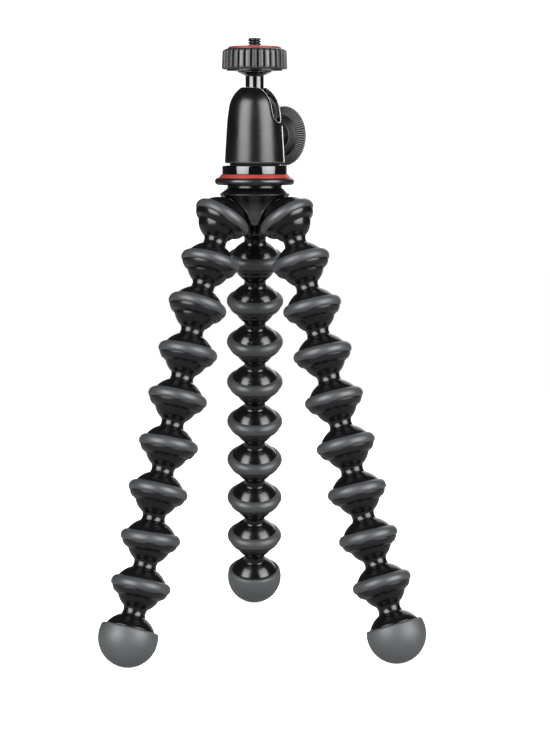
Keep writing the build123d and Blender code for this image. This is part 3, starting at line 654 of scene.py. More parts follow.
def mould_grain_group() -> bpy.types.NodeTree:
    """Shader group of fine moulded grain with a broad drift, on Object coordinates.

    Returns:
        The group. It puts out a height, a fine mask and a broad mask.
    """
    tree = bpy.data.node_groups.get("mould_grain")
    if tree:
        return tree
    tree = bpy.data.node_groups.new("mould_grain", "ShaderNodeTree")
    make = NodeWriter(tree)
    source = make.open(
        [float_input("Grain", 2500.0), float_input("Drift", 90.0)],
        [("Height", "NodeSocketFloat"), ("Fine", "NodeSocketFloat"), ("Broad", "NodeSocketFloat")],
    )
    place = make.add("ShaderNodeTexCoord").outputs["Object"]
    fine = make.add("ShaderNodeTexNoise",
                    {"Vector": place, "Scale": source.outputs["Grain"], "Detail": 3.0})
    pits = make.add("ShaderNodeTexVoronoi", {"Vector": place, "Scale": source.outputs["Grain"]})
    broad = make.add("ShaderNodeTexNoise",
                     {"Vector": place, "Scale": source.outputs["Drift"], "Detail": 2.0})
    height = make.maths("ADD", fine.outputs[0], make.maths("MULTIPLY", pits.outputs[0], 0.5))
    make.close({"Height": height, "Fine": fine.outputs[0], "Broad": broad.outputs[0]})
    return tree


def edge_wear_and_highlight_group() -> bpy.types.NodeTree:
    """Shader group that finds rounded edges and lightens them, as wear and as a painted highlight.

    Returns:
        The group. It puts out the rounded normal, the colour and the mask of the edges.
    """
    tree = bpy.data.node_groups.get("edge_wear")
    if tree:
        return tree
    tree = bpy.data.node_groups.new("edge_wear", "ShaderNodeTree")
    make = NodeWriter(tree)
    source = make.open(
        [("Colour", "NodeSocketColor", (0.02, 0.02, 0.02, 1.0)),
         ("Rubbed", "NodeSocketColor", (0.1, 0.1, 0.1, 1.0)),
         float_input("Radius", 0.0003), float_input("Amount", 0.5), float_input("Breakup", 0.5)],
        [("Normal", "NodeSocketVector"), ("Colour", "NodeSocketColor"),
         ("Mask", "NodeSocketFloat")],
    )
    soft = make.add("ShaderNodeBevel", {"Radius": source.outputs["Radius"]}, samples=6).outputs[0]
    plain = make.add("ShaderNodeNewGeometry").outputs["Normal"]
    same = make.add("ShaderNodeVectorMath", {0: soft, 1: plain},
                    operation="DOT_PRODUCT").outputs["Value"]
    edge = make.add("ShaderNodeMapRange", {0: same, 1: 0.995, 2: 0.9, 3: 0.0, 4: 1.0}).outputs[0]
    patchy = make.maths("ADD", source.outputs["Breakup"], 0.4)
    broken = make.maths("MULTIPLY", edge, patchy, clamp=True)
    mask = make.maths("MULTIPLY", broken, source.outputs["Amount"], clamp=True)
    colour = make.mixed(source.outputs["Colour"], source.outputs["Rubbed"], mask)
    make.close({"Normal": soft, "Colour": colour, "Mask": mask})
    return tree


@dataclass(frozen=True)
class Finish:
    """One finish: colour, gloss, moulded grain, worn edges with a painted highlight, and painted
    shade in grooves. Lengths are in millimetres.
    """

    slot: Slot
    colour: Colour
    faded: Colour
    worn_and_lit_edge: Colour
    roughness: float
    spread: float
    grain: float
    grain_height: float
    edge: float
    rub: float = 0.5
    metallic: float = 0.0
    specular: float = 0.5
    coat: float = 0.0
    satin: float = 0.0
    satin_and_painted_light_colour: Colour = (0.03, 0.03, 0.032)
    painted_groove_shade: Colour | None = None

    def build(self) -> bpy.types.Material:
        """Material of the finish, made once.

        Returns:
            The material.
        """
        ready = bpy.data.materials.get(self.slot.value + "_look")
        if ready:
            return ready
        material = bpy.data.materials.new(self.slot.value + "_look")
        material.use_nodes = True
        tree = material.node_tree
        tree.nodes.clear()
        make = NodeWriter(tree)
        grain = make.add("ShaderNodeGroup", node_tree=mould_grain_group())
        grain.inputs["Grain"].default_value = 1.0 / (self.grain * MM)
        tone = make.mixed(self.colour, self.faded, grain.outputs["Broad"])
        gloss: Any = self.specular
        rough = make.add("ShaderNodeMapRange", {
            0: grain.outputs["Broad"], 1: 0.3, 2: 0.7, 3: self.roughness - self.spread,
            4: self.roughness + self.spread,
        }).outputs[0]
        # The masked zone takes the satin roughness and its own colour: a real satin finish, painted
        # sheen on the hub's panels and painted shade on the pad's side.
        if self.satin:
            mask = make.add("ShaderNodeAttribute", attribute_name="mask").outputs["Fac"]
            tone = make.mixed(tone, self.satin_and_painted_light_colour, mask)
            rough = make.add("ShaderNodeMapRange",
                             {0: mask, 1: 0.0, 2: 1.0, 3: rough, 4: self.satin}).outputs[0]
        # Sunk grooves are painted darker and lose their gloss: painted shade in the recesses.
        if self.painted_groove_shade:
            sunk = make.add("ShaderNodeAttribute", attribute_name="sunk").outputs["Fac"]
            tone = make.mixed(tone, self.painted_groove_shade, sunk)
            gloss = make.maths("MULTIPLY", make.maths("SUBTRACT", 1.0, sunk), self.specular)
        # Rounded edges take the edge colour: wear, and on the housing and hub a painted highlight.
        wear_and_highlight = make.add("ShaderNodeGroup", {"Colour": tone, "Breakup": grain.outputs["Fine"]},
                        node_tree=edge_wear_and_highlight_group())
        wear_and_highlight.inputs["Rubbed"].default_value = (*self.worn_and_lit_edge, 1.0)
        wear_and_highlight.inputs["Radius"].default_value = self.edge * MM
        wear_and_highlight.inputs["Amount"].default_value = self.rub
        bump = make.add("ShaderNodeBump", {
            "Height": grain.outputs["Height"], "Normal": wear_and_highlight.outputs["Normal"], "Strength": 1.0,
            "Distance": self.grain_height * MM,
        })
        shader = make.add("ShaderNodeBsdfPrincipled", {
            "Base Color": wear_and_highlight.outputs["Colour"], "Roughness": rough, "Normal": bump.outputs[0],
            "Metallic": self.metallic, "Specular IOR Level": gloss, "Coat Weight": self.coat,
            "Coat Roughness": 0.05,
        })
        make.add("ShaderNodeOutputMaterial", {0: shader.outputs[0]})
        return material


FINISHES = {finish.slot: finish for finish in (
    Finish(Slot.LINK, colour=(0.0015, 0.0015, 0.0018), faded=(0.003, 0.003, 0.0033),
           worn_and_lit_edge=(0.04, 0.04, 0.042), roughness=0.19, spread=0.03, grain=0.5, grain_height=0.0015,
           edge=0.2, rub=0.3, specular=0.42, satin=0.27, satin_and_painted_light_colour=(0.004, 0.004, 0.005)),
    Finish(Slot.GRIP, colour=(0.024, 0.026, 0.028), faded=(0.031, 0.033, 0.035),
           worn_and_lit_edge=(0.08, 0.083, 0.086), roughness=0.42, spread=0.05, grain=0.35,
           grain_height=0.006, edge=0.3, rub=0.35),
    Finish(Slot.BOOT, colour=(0.034, 0.037, 0.039), faded=(0.042, 0.045, 0.047),
           worn_and_lit_edge=(0.12, 0.123, 0.126), roughness=0.48, spread=0.05, grain=0.4, grain_height=0.008,
           edge=0.3, rub=0.45),
    # Its lighter satin grey is painted sheen on the lower panels. Its edge colour paints thin
    # highlight lines.
    Finish(Slot.HUB, colour=(0.0015, 0.0015, 0.0018), faded=(0.003, 0.003, 0.0033),
           worn_and_lit_edge=(0.09, 0.09, 0.092), roughness=0.2, spread=0.03, grain=0.45, grain_height=0.002,
           edge=0.35, rub=0.5, specular=0.42, satin=0.42, satin_and_painted_light_colour=(0.024, 0.0245, 0.025)),
    Finish(Slot.FLANGE, colour=(0.004, 0.0042, 0.0045), faded=(0.006, 0.0062, 0.0065),
           worn_and_lit_edge=(0.06, 0.06, 0.06), roughness=0.25, spread=0.04, grain=0.4, grain_height=0.003,
           edge=0.3, rub=0.4),
    Finish(Slot.ACCENT, colour=(0.19, 0.02, 0.016), faded=(0.22, 0.024, 0.02),
           worn_and_lit_edge=(0.4, 0.1, 0.08), roughness=0.36, spread=0.05, grain=0.4, grain_height=0.003,
           edge=0.15, rub=0.3),
    Finish(Slot.PAN, colour=(0.0006, 0.0006, 0.0006), faded=(0.001, 0.001, 0.001),
           worn_and_lit_edge=(0.05, 0.05, 0.05), roughness=0.05, spread=0.015, grain=0.6, grain_height=0.0003,
           edge=0.12, rub=0.2, specular=0.9, satin=0.6, satin_and_painted_light_colour=(0.0005, 0.0005, 0.0005)),
    # Near-white edge colour, mixed in strongly: a painted highlight along the slot bevel and the
    # edges.
    Finish(Slot.HOUSING, colour=(0.0012, 0.0012, 0.0014), faded=(0.0025, 0.0025, 0.003),
           worn_and_lit_edge=(0.85, 0.85, 0.86), roughness=0.29, spread=0.03, grain=0.3, grain_height=0.002,
           edge=0.6, rub=1.4, specular=0.44),
    Finish(Slot.STEM, colour=(0.0008, 0.0008, 0.0008), faded=(0.0015, 0.0015, 0.0015),
           worn_and_lit_edge=(0.06, 0.06, 0.06), roughness=0.06, spread=0.02, grain=0.6, grain_height=0.0004,
           edge=0.2, rub=0.3, coat=1.0),
    # Its flute valleys are painted darker: painted shade.
    Finish(Slot.DISC, colour=(0.003, 0.003, 0.0032), faded=(0.005, 0.005, 0.0052),
           worn_and_lit_edge=(0.1, 0.1, 0.1), roughness=0.2, spread=0.04, grain=0.35, grain_height=0.003,
           edge=0.25, rub=0.45, satin=0.3, satin_and_painted_light_colour=(0.03, 0.03, 0.031),
           painted_groove_shade=(0.003, 0.003, 0.003)),
    # The side's darker red is painted shade under the lighter top.
    Finish(Slot.PAD, colour=(0.3, 0.06, 0.05), faded=(0.34, 0.07, 0.06), worn_and_lit_edge=(0.5, 0.12, 0.1),
           roughness=0.4, spread=0.05, grain=0.4, grain_height=0.006, edge=0.2, rub=0.3,
           satin=0.45, satin_and_painted_light_colour=(0.1, 0.008, 0.007)),
    # Its ridge valleys are painted near-black: painted shade.
    Finish(Slot.KNOB, colour=(0.1, 0.102, 0.106), faded=(0.11, 0.112, 0.116),
           worn_and_lit_edge=(0.14, 0.142, 0.144), roughness=0.34, spread=0.05, grain=0.35,
           grain_height=0.003, edge=0.12, rub=0.4, painted_groove_shade=(0.004, 0.004, 0.0045)),
    # Its thread valleys are painted darker: painted shade.
    Finish(Slot.SCREW, colour=(0.03, 0.03, 0.031), faded=(0.045, 0.044, 0.043),
           worn_and_lit_edge=(0.3, 0.3, 0.3), roughness=0.3, spread=0.06, grain=0.25, grain_height=0.002,
           edge=0.1, rub=0.5, metallic=0.9, painted_groove_shade=(0.008, 0.008, 0.008)),
    Finish(Slot.STEEL, colour=(0.5, 0.5, 0.5), faded=(0.42, 0.42, 0.43), worn_and_lit_edge=(0.75, 0.75, 0.75),
           roughness=0.3, spread=0.06, grain=0.25, grain_height=0.002, edge=0.15, rub=0.5,
           metallic=1.0),
    Finish(Slot.SEAT, colour=(0.7, 0.69, 0.64), faded=(0.64, 0.63, 0.58), worn_and_lit_edge=(0.8, 0.79, 0.75),
           roughness=0.4, spread=0.05, grain=0.35, grain_height=0.003, edge=0.2, rub=0.3),
)}


def fitted(name: str, mesh: bpy.types.Mesh, slot: Slot, body: str, *nodes: str) -> bpy.types.Object:
    """Piece made from a mesh that is already in its place.

    Args:
        name: Name of the piece.
        mesh: Its mesh, in metres.
        slot: Material slot that it takes its finish from.
        body: CAD body that it rides on.
        nodes: CAD nodes that it stands for.

    Returns:
        The piece.
    """
    mesh.materials.clear()
    mesh.materials.append(FINISHES[slot].build())
    piece = bpy.data.objects.new(name, mesh)
    bpy.context.scene.collection.objects.link(piece)
    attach(piece, body)
    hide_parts(*nodes)
    LOG.info("%s: %d faces on %s", name, len(mesh.polygons), body)
    return piece


def placed(mesh: bpy.types.Mesh, place: Matrix) -> bpy.types.Mesh:
    """The mesh, drawn in millimetres about its own axis, set in metres at its place."""
    mesh.transform(place @ Matrix.Scale(MM, 4))
    return mesh


@dataclass(frozen=True)
class LinkForm:
    """Sizes of a ball-and-socket link and its grip ring, in millimetres."""

    ball: float = 10.3
    pitch: float = 22.35
    neck: float = 5.3
    flare: float = 0.5
    dome: float = 13.1
    dome_drop: float = 1.7
    groove: float = 12.2
    lip: float = 13.1
    rim: float = 9.95
    mouth_depth: float = 3.65
    clearance: float = 0.1
    lip_bend: Point = (12.55, -1.35)
    lip_foot: Point = (11.3, -2.85)
    rim_step: Point = (10.95, -2.8)
    ring: float = 14.05
    ring_rise: float = 1.8
    ring_under: float = 1.75
    ring_start: float = 11.2
    ring_brow: Point = (13.35, 2.2)
    ring_belly: Point = (13.8, -1.0)
    ring_foot: float = 13.2
    seam: float = 0.02

    def start(self, pitch: float) -> Outline:
        """Outline from the top of the ball, down the neck and onto the dome.

        Args:
            pitch: Height of the dome's socket centre below the ball's.

        Returns:
            The outline, ending where the dome begins.
        """
        root = self.neck + self.flare
        low = -rise(self.ball, root)
        top = -pitch - self.dome_drop + rise(self.dome, root)
        line = Outline((0, self.ball)).ball(self.ball, 0, (root, low), 30, soft=0.35)
        return line.arc((self.neck, (low + top) / 2), (root, top), 8, soft=0.35)

    def lip_steps(self, line: Outline, pitch: float) -> Outline:
        """Adds the groove and the lip with its stepped rim.

        Args:
            line: Outline that has reached the dome.
            pitch: Height of the socket's centre below zero.

        Returns:
            The outline, ending at the mouth's inner edge.
        """
        shelf = -pitch + self.ring_rise - self.ring_under
        centre = -pitch - self.dome_drop
        line.ball(self.dome, centre, (self.groove, centre + rise(self.dome, self.groove)), 12)
        line.to((self.groove, shelf)).to((self.lip, shelf), mask=1.0, soft=0.3)
        bend, foot, step = ((radius, -pitch + height) for radius, height in
                            (self.lip_bend, self.lip_foot, self.rim_step))
        line.arc(bend, foot, 8, mask=1.0, soft=0.15).to(step, mask=1.0)
        return line.to((self.rim, -pitch - self.mouth_depth), mask=1.0, soft=0.2)

    def moulding(self) -> bpy.types.Mesh:
        """Turns the moulded link.

        Returns:
            The link's mesh, with its ball's centre at the origin.
        """
        hollow, mouth = self.ball + self.clearance, -self.pitch - self.mouth_depth
        line = self.lip_steps(self.start(self.pitch), self.pitch)
        line.to((rise(hollow, self.mouth_depth), mouth))
        return turned("link_moulding", line.ball(hollow, -self.pitch, (0, hollow - self.pitch), 24))

    def grip_ring(self, pitch: float) -> bpy.types.Mesh:
        """Rubber ring round the socket that lies a pitch below the origin.

        Args:
            pitch: Height of the socket's centre below zero.

        Returns:
            The ring's mesh, in millimetres.
        """
        plane, centre = -pitch + self.ring_rise, -pitch - self.dome_drop
        dome, inner = self.dome + self.seam, self.groove + self.seam
        low, last = plane - self.ring_under + self.seam, self.ring_start + 0.05
        line = Outline((self.ring_start, centre + rise(dome, self.ring_start)))
        line.arc((self.ring_brow[0], plane + self.ring_brow[1]), (self.ring, plane), 12)
        belly = (self.ring_belly[0], plane + self.ring_belly[1])
        line.arc(belly, (self.ring_foot, low), 8, soft=0.25)
        line.to((inner, low), (inner, centre + rise(dome, inner)))
        line.ball(dome, centre, (last, centre + rise(dome, last)), 6)
        line.soft[0] = 0.12
        return turned("grip_ring", line, ring=True)


@dataclass(frozen=True)
class FootForm:
    """Sizes of a foot and its rubber boot, in millimetres."""

    radius: float = 14.0
    reach: float = 22.6
    wall: float = 2.0
    rim_height: float = 4.5
    rim_round: float = 1.3
    seam: float = 0.02

    def moulding(self, link: LinkForm) -> bpy.types.Mesh:
        """Foot under the boot: ball, neck, dome and round core.

        Args:
            link: Sizes that the foot shares with the links.

        Returns:
            The foot's mesh, with its ball's centre at the origin.
        """
        core = self.radius - self.wall
        line = link.start(self.reach)
        reach_out = rise(link.dome, self.rim_height + link.dome_drop)
        dome_end = (reach_out, self.rim_height - self.reach)
        line.ball(link.dome, -self.reach - link.dome_drop, dome_end, 12)
        top = (rise(core, self.rim_height), self.rim_height - self.reach)
        line.to(top).ball(core, -self.reach, (core, -self.reach), 8)
        return turned("foot_moulding", line.ball(core, -self.reach, (0, -self.reach - core), 20))

    def boot(self) -> bpy.types.Mesh:
        """Turns the rubber boot round the foot's core.

        Returns:
            The boot's mesh, with the centre of the foot's ball at the origin.
        """
        inner, rim = self.radius - self.wall + self.seam, self.rim_height - self.reach
        shoulder = self.rim_height - self.rim_round
        outer = rise(self.radius, shoulder)
        line = Outline((0, -self.reach - inner))
        line.ball(inner, -self.reach, (inner, -self.reach), 16)
        line.ball(inner, -self.reach, (rise(inner, self.rim_height), rim), 6)
        line.to((outer - self.rim_round, rim))
        bend = self.rim_round * math.cos(math.pi / 4)
        over = (outer - self.rim_round + bend, rim - self.rim_round + bend)
        line.arc(over, (outer, shoulder - self.reach), 8)
        line.ball(self.radius, -self.reach, (self.radius, -self.reach), 8)
        line.ball(self.radius, -self.reach, (0, -self.reach - self.radius), 28)
        return turned("foot_boot", line)


class LegChain:
    """One leg: eight ringed links and a booted foot, each on its own body."""

    LINKS = 8

    def __init__(self, leg: Leg, joints: dict[str, Vector], link: LinkForm, foot: FootForm) -> None:
        """Finds the line of ball centres.

        Args:
            leg: Which leg it is.
            joints: Place of each joint of the frame, in metres.
            link: Sizes of the links.
            foot: Sizes of the foot.
        """
        self.leg, self.link, self.foot = leg, link, foot
        self.centres = [joints[f"{leg.value}_bend_{number}"] for number in range(1, self.LINKS + 2)]
        self.centres.append(self._foot_centre())

    def _foot_centre(self) -> Vector:
        """Finds the centre of the boot's ball.

        Returns:
            The centre, in the leg's upright plane and one radius above the floor.
        """
        last = self.centres[-1]
        heading = (last - self.centres[-2]) * Vector((1, 1, 0))
        drop = last.z - self.foot.radius * MM
        return last + heading.normalized() * rise(self.foot.reach * MM, drop) - Vector((0, 0, drop))

    def line(self) -> bpy.types.Mesh:
        """Sets a point at each ball centre.

        Returns:
            The points, with the direction up each link as their "axis" attribute.
        """
        mesh = bpy.data.meshes.new(f"{self.leg.value}_line")
        mesh.from_pydata([tuple(c) for c in self.centres[:-1]], [], [])
        axis = mesh.attributes.new("axis", "FLOAT_VECTOR", "POINT")
        for item, here, there in zip(axis.data, self.centres, self.centres[1:]):
            item.vector = (here - there).normalized()
        return mesh

    def build(self, units: dict[str, bpy.types.Object]) -> None:
        """Builds every piece of the leg.

        Args:
            units: The unit pieces that are set along the leg, by name.
        """
        line, tree, side = self.line(), chain_tree(), self.leg.value
        jobs = [(f"{side}_link_{number}", number - 1, kind, slot, f"{side}_link_{number}")
                for number in range(1, self.LINKS + 1)
                for kind, slot in (("moulding", Slot.LINK), ("ring", Slot.GRIP))]
        jobs += [(f"{side}_foot", self.LINKS, kind, slot, f"{side}_{kind}")
                 for kind, slot in (("foot", Slot.LINK), ("boot", Slot.BOOT))]
        for body, index, kind, slot, node in jobs:
            name = f"{body}_{kind}"
            values = {"Unit": units[kind], "Number": index, "Scale": MM,
                      "Material": FINISHES[slot].build()}
            fitted(name, grown(line, tree, values, name), slot, body, node)


@dataclass(frozen=True)
class Hub:
    """Hub moulding with three sockets, its grip rings and the stack that it carries."""

    circle: float = 19.0
    tilt: float = 35.0
    azimuths: tuple[float, float, float] = (210.0, 330.0, 90.0)
    panel_turn: float = 60.0
    top: float = 16.85
    neck: Point = (13.1, 15.6)
    shoulder: Point = (16.95, 12.7)
    trumpet: Point = (12.15, 6.6)
    waist: Point = (9.55, 0.5)
    foot: Point = (8.35, -2.1)
    post: Point = (2.3, -7.3)
    edge: tuple[Point, ...] = (
        (14.3, 13.4), (10.6, 12.2), (8.6, 10.2), (7.1, 8.3), (5.3, 6.0), (3.8, 3.8), (2.8, 1.2),
        (2.2, -0.6), (0.4, -2.0),
    )
    proud: float = 0.3
    proud_run: float = 3.0
    sunk: float = 0.4
    rib: float = 0.42
    # Satin, with a lighter grey that paints sheen, fades in below this height over this run.
    satin_and_painted_sheen_top: float = 9.5
    satin_and_painted_sheen_run: float = 6.0
    panel_grid: tuple[int, int] = (40, 56)
    ring_room: float = 0.5
    room_depth: float = -22.0
    hollow: float = 10.4
    hollow_mouth: float = -3.1
    hollow_end: Point = (9.45, -5.0)
    stud: float = 3.275
    stud_foot: float = 6.2
    hexagon_flats: float = 11.12
    hexagon_span: Point = (7.58, 11.62)
    crease: float = 35.0
    panel_crease: float = 40.0

    def sockets(self) -> list[Matrix]:
        """Places the sockets.

        Returns:
            The place of each socket, with its mouth down its own Z, in millimetres.
        """
        return [
            Matrix.Rotation(math.radians(azimuth), 4, "Z") @ Matrix.Translation((self.circle, 0, 0))
            @ Matrix.Rotation(math.radians(-self.tilt), 4, "Y") for azimuth in self.azimuths
        ]

    def _flank(self, line: Outline) -> Outline:
        """Runs a line on from the neck's foot, over the shoulder and down to the waist."""
        return line.to(self.shoulder, soft=0.35).arc(self.trumpet, self.waist, 20)

    def core(self) -> bpy.types.Mesh:
        """Turns the middle of the hub.

        Returns:
            The mesh, from the hub's neck to the post below it.
        """
        line = Outline((0, self.top)).to((self.neck[0], self.top)).to(self.neck, soft=0.25)
        self._flank(line).to(self.foot, soft=0.5).to((self.post[0], self.foot[1]))
        return turned("hub_core", line.to(self.post, soft=0.3).to((0, self.post[1])), 144)

    def panel(self, azimuth: float) -> bpy.types.Mesh:
        """Builds a raised shield between two sockets, with a thin rib along each of its edges.

        Args:
            azimuth: Direction that it faces, in degrees.

        Returns:
            The panel's closed mesh, in millimetres, its mask 1 for the satin finish, whose lighter
            grey towards the bottom is painted sheen.
        """
        line = self._flank(Outline(self.neck)).to(self.foot).softened()
        radii, heights, _ = zip(*sorted(line, key=lambda point: point[1]))
        halves, levels = zip(*self.edge[::-1])
        rows = []
        for number in range(self.panel_grid[0] + 1):
            height = levels[0] + (levels[-1] - levels[0]) * number / self.panel_grid[0]
            proud = self.proud * min(1.0, (levels[-1] - height) / self.proud_run)
            radius, half = blend(heights, radii, height), blend(levels, halves, height)
            rows.append((height, radius, half, proud))
        bm = bmesh.new()
        layer = bm.verts.layers.float.new("mask")
        front, back = ([self._panel_row(bm, layer, azimuth, row, outer) for row in rows]
                       for outer in (True, False))
        for sheet in (front, back):
            for low, high in zip(sheet, sheet[1:]):
                band(bm, low, high)
        for side in (0, -1):
            band(bm, front[side], back[side])
        for side in (0, -1):
            band(bm, [row[side] for row in front], [row[side] for row in back])
        mesh = made(bm, "hub_panel")
        mesh.shade_smooth()
        mesh.set_sharp_from_angle(angle=math.radians(self.panel_crease))
        return mesh

    def _panel_row(self, bm: bmesh.types.BMesh, layer: Any, azimuth: float,
                   row: tuple[float, float, float, float], outer: bool) -> list[bmesh.types.BMVert]:
        """Sets the points of one level of a panel's front or back.

        Args:
            bm: Builder that takes the points.
            layer: Its mask.
            azimuth: Direction that the panel faces, in degrees.
            row: Height, radius of the core, half width of the panel and how far it stands proud.
            outer: True for the front.

        Returns:
            The points, from one side to the other.
        """
        height, radius, half, proud = row
        reach = math.asin(min(half / radius, 0.99))
        size = radius + (proud if outer else -self.sunk)
        # Mask rising towards the bottom: satin roughness, and a lighter grey that paints the sheen
        # of the lower panel.
        satin = min(max((self.satin_and_painted_sheen_top - height) / self.satin_and_painted_sheen_run, 0.0), 1.0)
        points = []
        for step in range(self.panel_grid[1] + 1):
            aside = 2 * step / self.panel_grid[1] - 1
            angle = math.radians(azimuth) + reach * aside
            from_edge = (1 - abs(aside)) * half
            rib = math.exp(-(from_edge / self.rib - 1.0) ** 2 * 2) if outer else 0.0
            far = size + rib * self.rib * min(1.0, proud / self.proud)
            vert = bm.verts.new((far * math.cos(angle), far * math.sin(angle), height))
            vert[layer] = (1.0 - rib) * satin
            points.append(vert)
        return points

    def build(self, link: LinkForm, base: Matrix) -> None:
        """Builds the hub moulding and its grip rings.

        Args:
            link: Sizes that the sockets share with the links.
            base: Place of the hub's socket plane on the head's axis, in metres.
        """
        ring_top = rise(link.dome, link.ring_start) - link.dome_drop
        room = rod(link.ring + self.ring_room, self.room_depth, ring_top + self.ring_room, 0.6)
        shell = link.lip_steps(Outline((0, link.dome - link.dome_drop)), 0.0)
        shell.to((0, -link.mouth_depth))
        hollow = Outline((0, self.hollow)).ball(self.hollow, 0, (self.hollow, 0))
        low = (rise(self.hollow, self.hollow_mouth), self.hollow_mouth)
        hollow.ball(self.hollow, 0, low, 4).to(self.hollow_end).to((0, self.hollow_end[1]))
        tools: list[tuple[Carve, bpy.types.Mesh]] = []
        for how, outline, segments in ((Carve.CUT, room, 96), (Carve.JOIN, shell, 96),
                                       (Carve.CUT, hollow, 90)):
            for place in self.sockets():
                tool = turned("socket_tool", outline, segments)
                tool.transform(place)
                tools.append((how, tool))
        hole = turned("stud_hole", rod(self.stud, self.stud_foot, self.top + 1), 48)
        corner = self.hexagon_flats / math.sqrt(3)
        hexagon = turned("stud_hexagon", rod(corner, *self.hexagon_span), 6)
        tools += [(Carve.CUT, hole), (Carve.CUT, hexagon)]
        panels = [self.panel(azimuth + self.panel_turn) for azimuth in self.azimuths]
        hub = merged([carved(self.core(), tools, self.crease), *panels], "hub_moulding")
        fitted("hub_moulding", placed(hub, base), Slot.HUB, "hub", "hub_body")
        for number, place in enumerate(self.sockets(), start=1):
            ring = link.grip_ring(0.0)
            ring.transform(place)
            name = f"hub_grip_ring_{number}"
            fitted(name, placed(ring, base), Slot.GRIP, "hub", "hub_grip_rings")


@dataclass(frozen=True)
class PanStack:
    """Base flange, red accent ring and glossy panning base, in millimetres above the hub's top."""

    bore: float = 3.275
    flange_foot: float = 13.1
    flange_under: Point = (16.85, 0.35)
    flange_rim: Point = (19.15, 1.7)
    flange_top: Point = (17.45, 3.65)
    spigot: Point = (13.25, 5.3)
    accent_low: float = 17.4
    accent_high: float = 16.0
    accent_bore: float = 13.27
    pan_radius: float = 15.6
    pan_edge: float = 9.35
    pan_neck: float = 11.9
    neck_span: Point = (9.55, 10.9)
    boss: Point = (7.0, 14.25)
    stud_end: float = 9.5
    screw_hole: Point = (2.02, 10.65)

    def build(self, base: Matrix) -> None:
        """Builds the stack.

        Args:
            base: Place of the flange's underside on the head's axis, in metres.
        """
        low, high = self.flange_top[1], self.spigot[1]
        flange = Outline((self.bore, 0)).to((self.flange_foot, 0)).to(self.flange_under, soft=0.4)
        flange.arc(self.flange_rim, self.flange_top, 20, soft=0.3)
        flange.to((self.spigot[0], low), self.spigot, (self.bore, high))
        accent = Outline((self.accent_bore, low))
        accent.to((self.accent_low, low), (self.accent_high, high), soft=0.15)
        accent.to((self.accent_bore, high))
        pan = Outline((0, self.stud_end)).to((self.bore, self.stud_end), (self.bore, high))
        pan.to((self.pan_radius, high), (self.pan_radius, self.pan_edge), soft=0.3)
        pan.to(*((self.pan_neck, height) for height in self.neck_span), mask=1.0)
        pan.to((self.boss[0], self.neck_span[1])).to(self.boss, soft=0.15)
        pan.to((self.screw_hole[0], self.boss[1]), self.screw_hole, (0, self.screw_hole[1]))
        for name, outline, ring, slot, node in (
                ("base_flange_ring", flange, True, Slot.FLANGE, "base_flange"),
                ("accent_band", accent, True, Slot.ACCENT, "accent_ring"),
                ("panning_base", pan, False, Slot.PAN, "pan_base")):
            fitted(name, placed(turned(name, outline, 144, ring), base), slot, "hub", node)


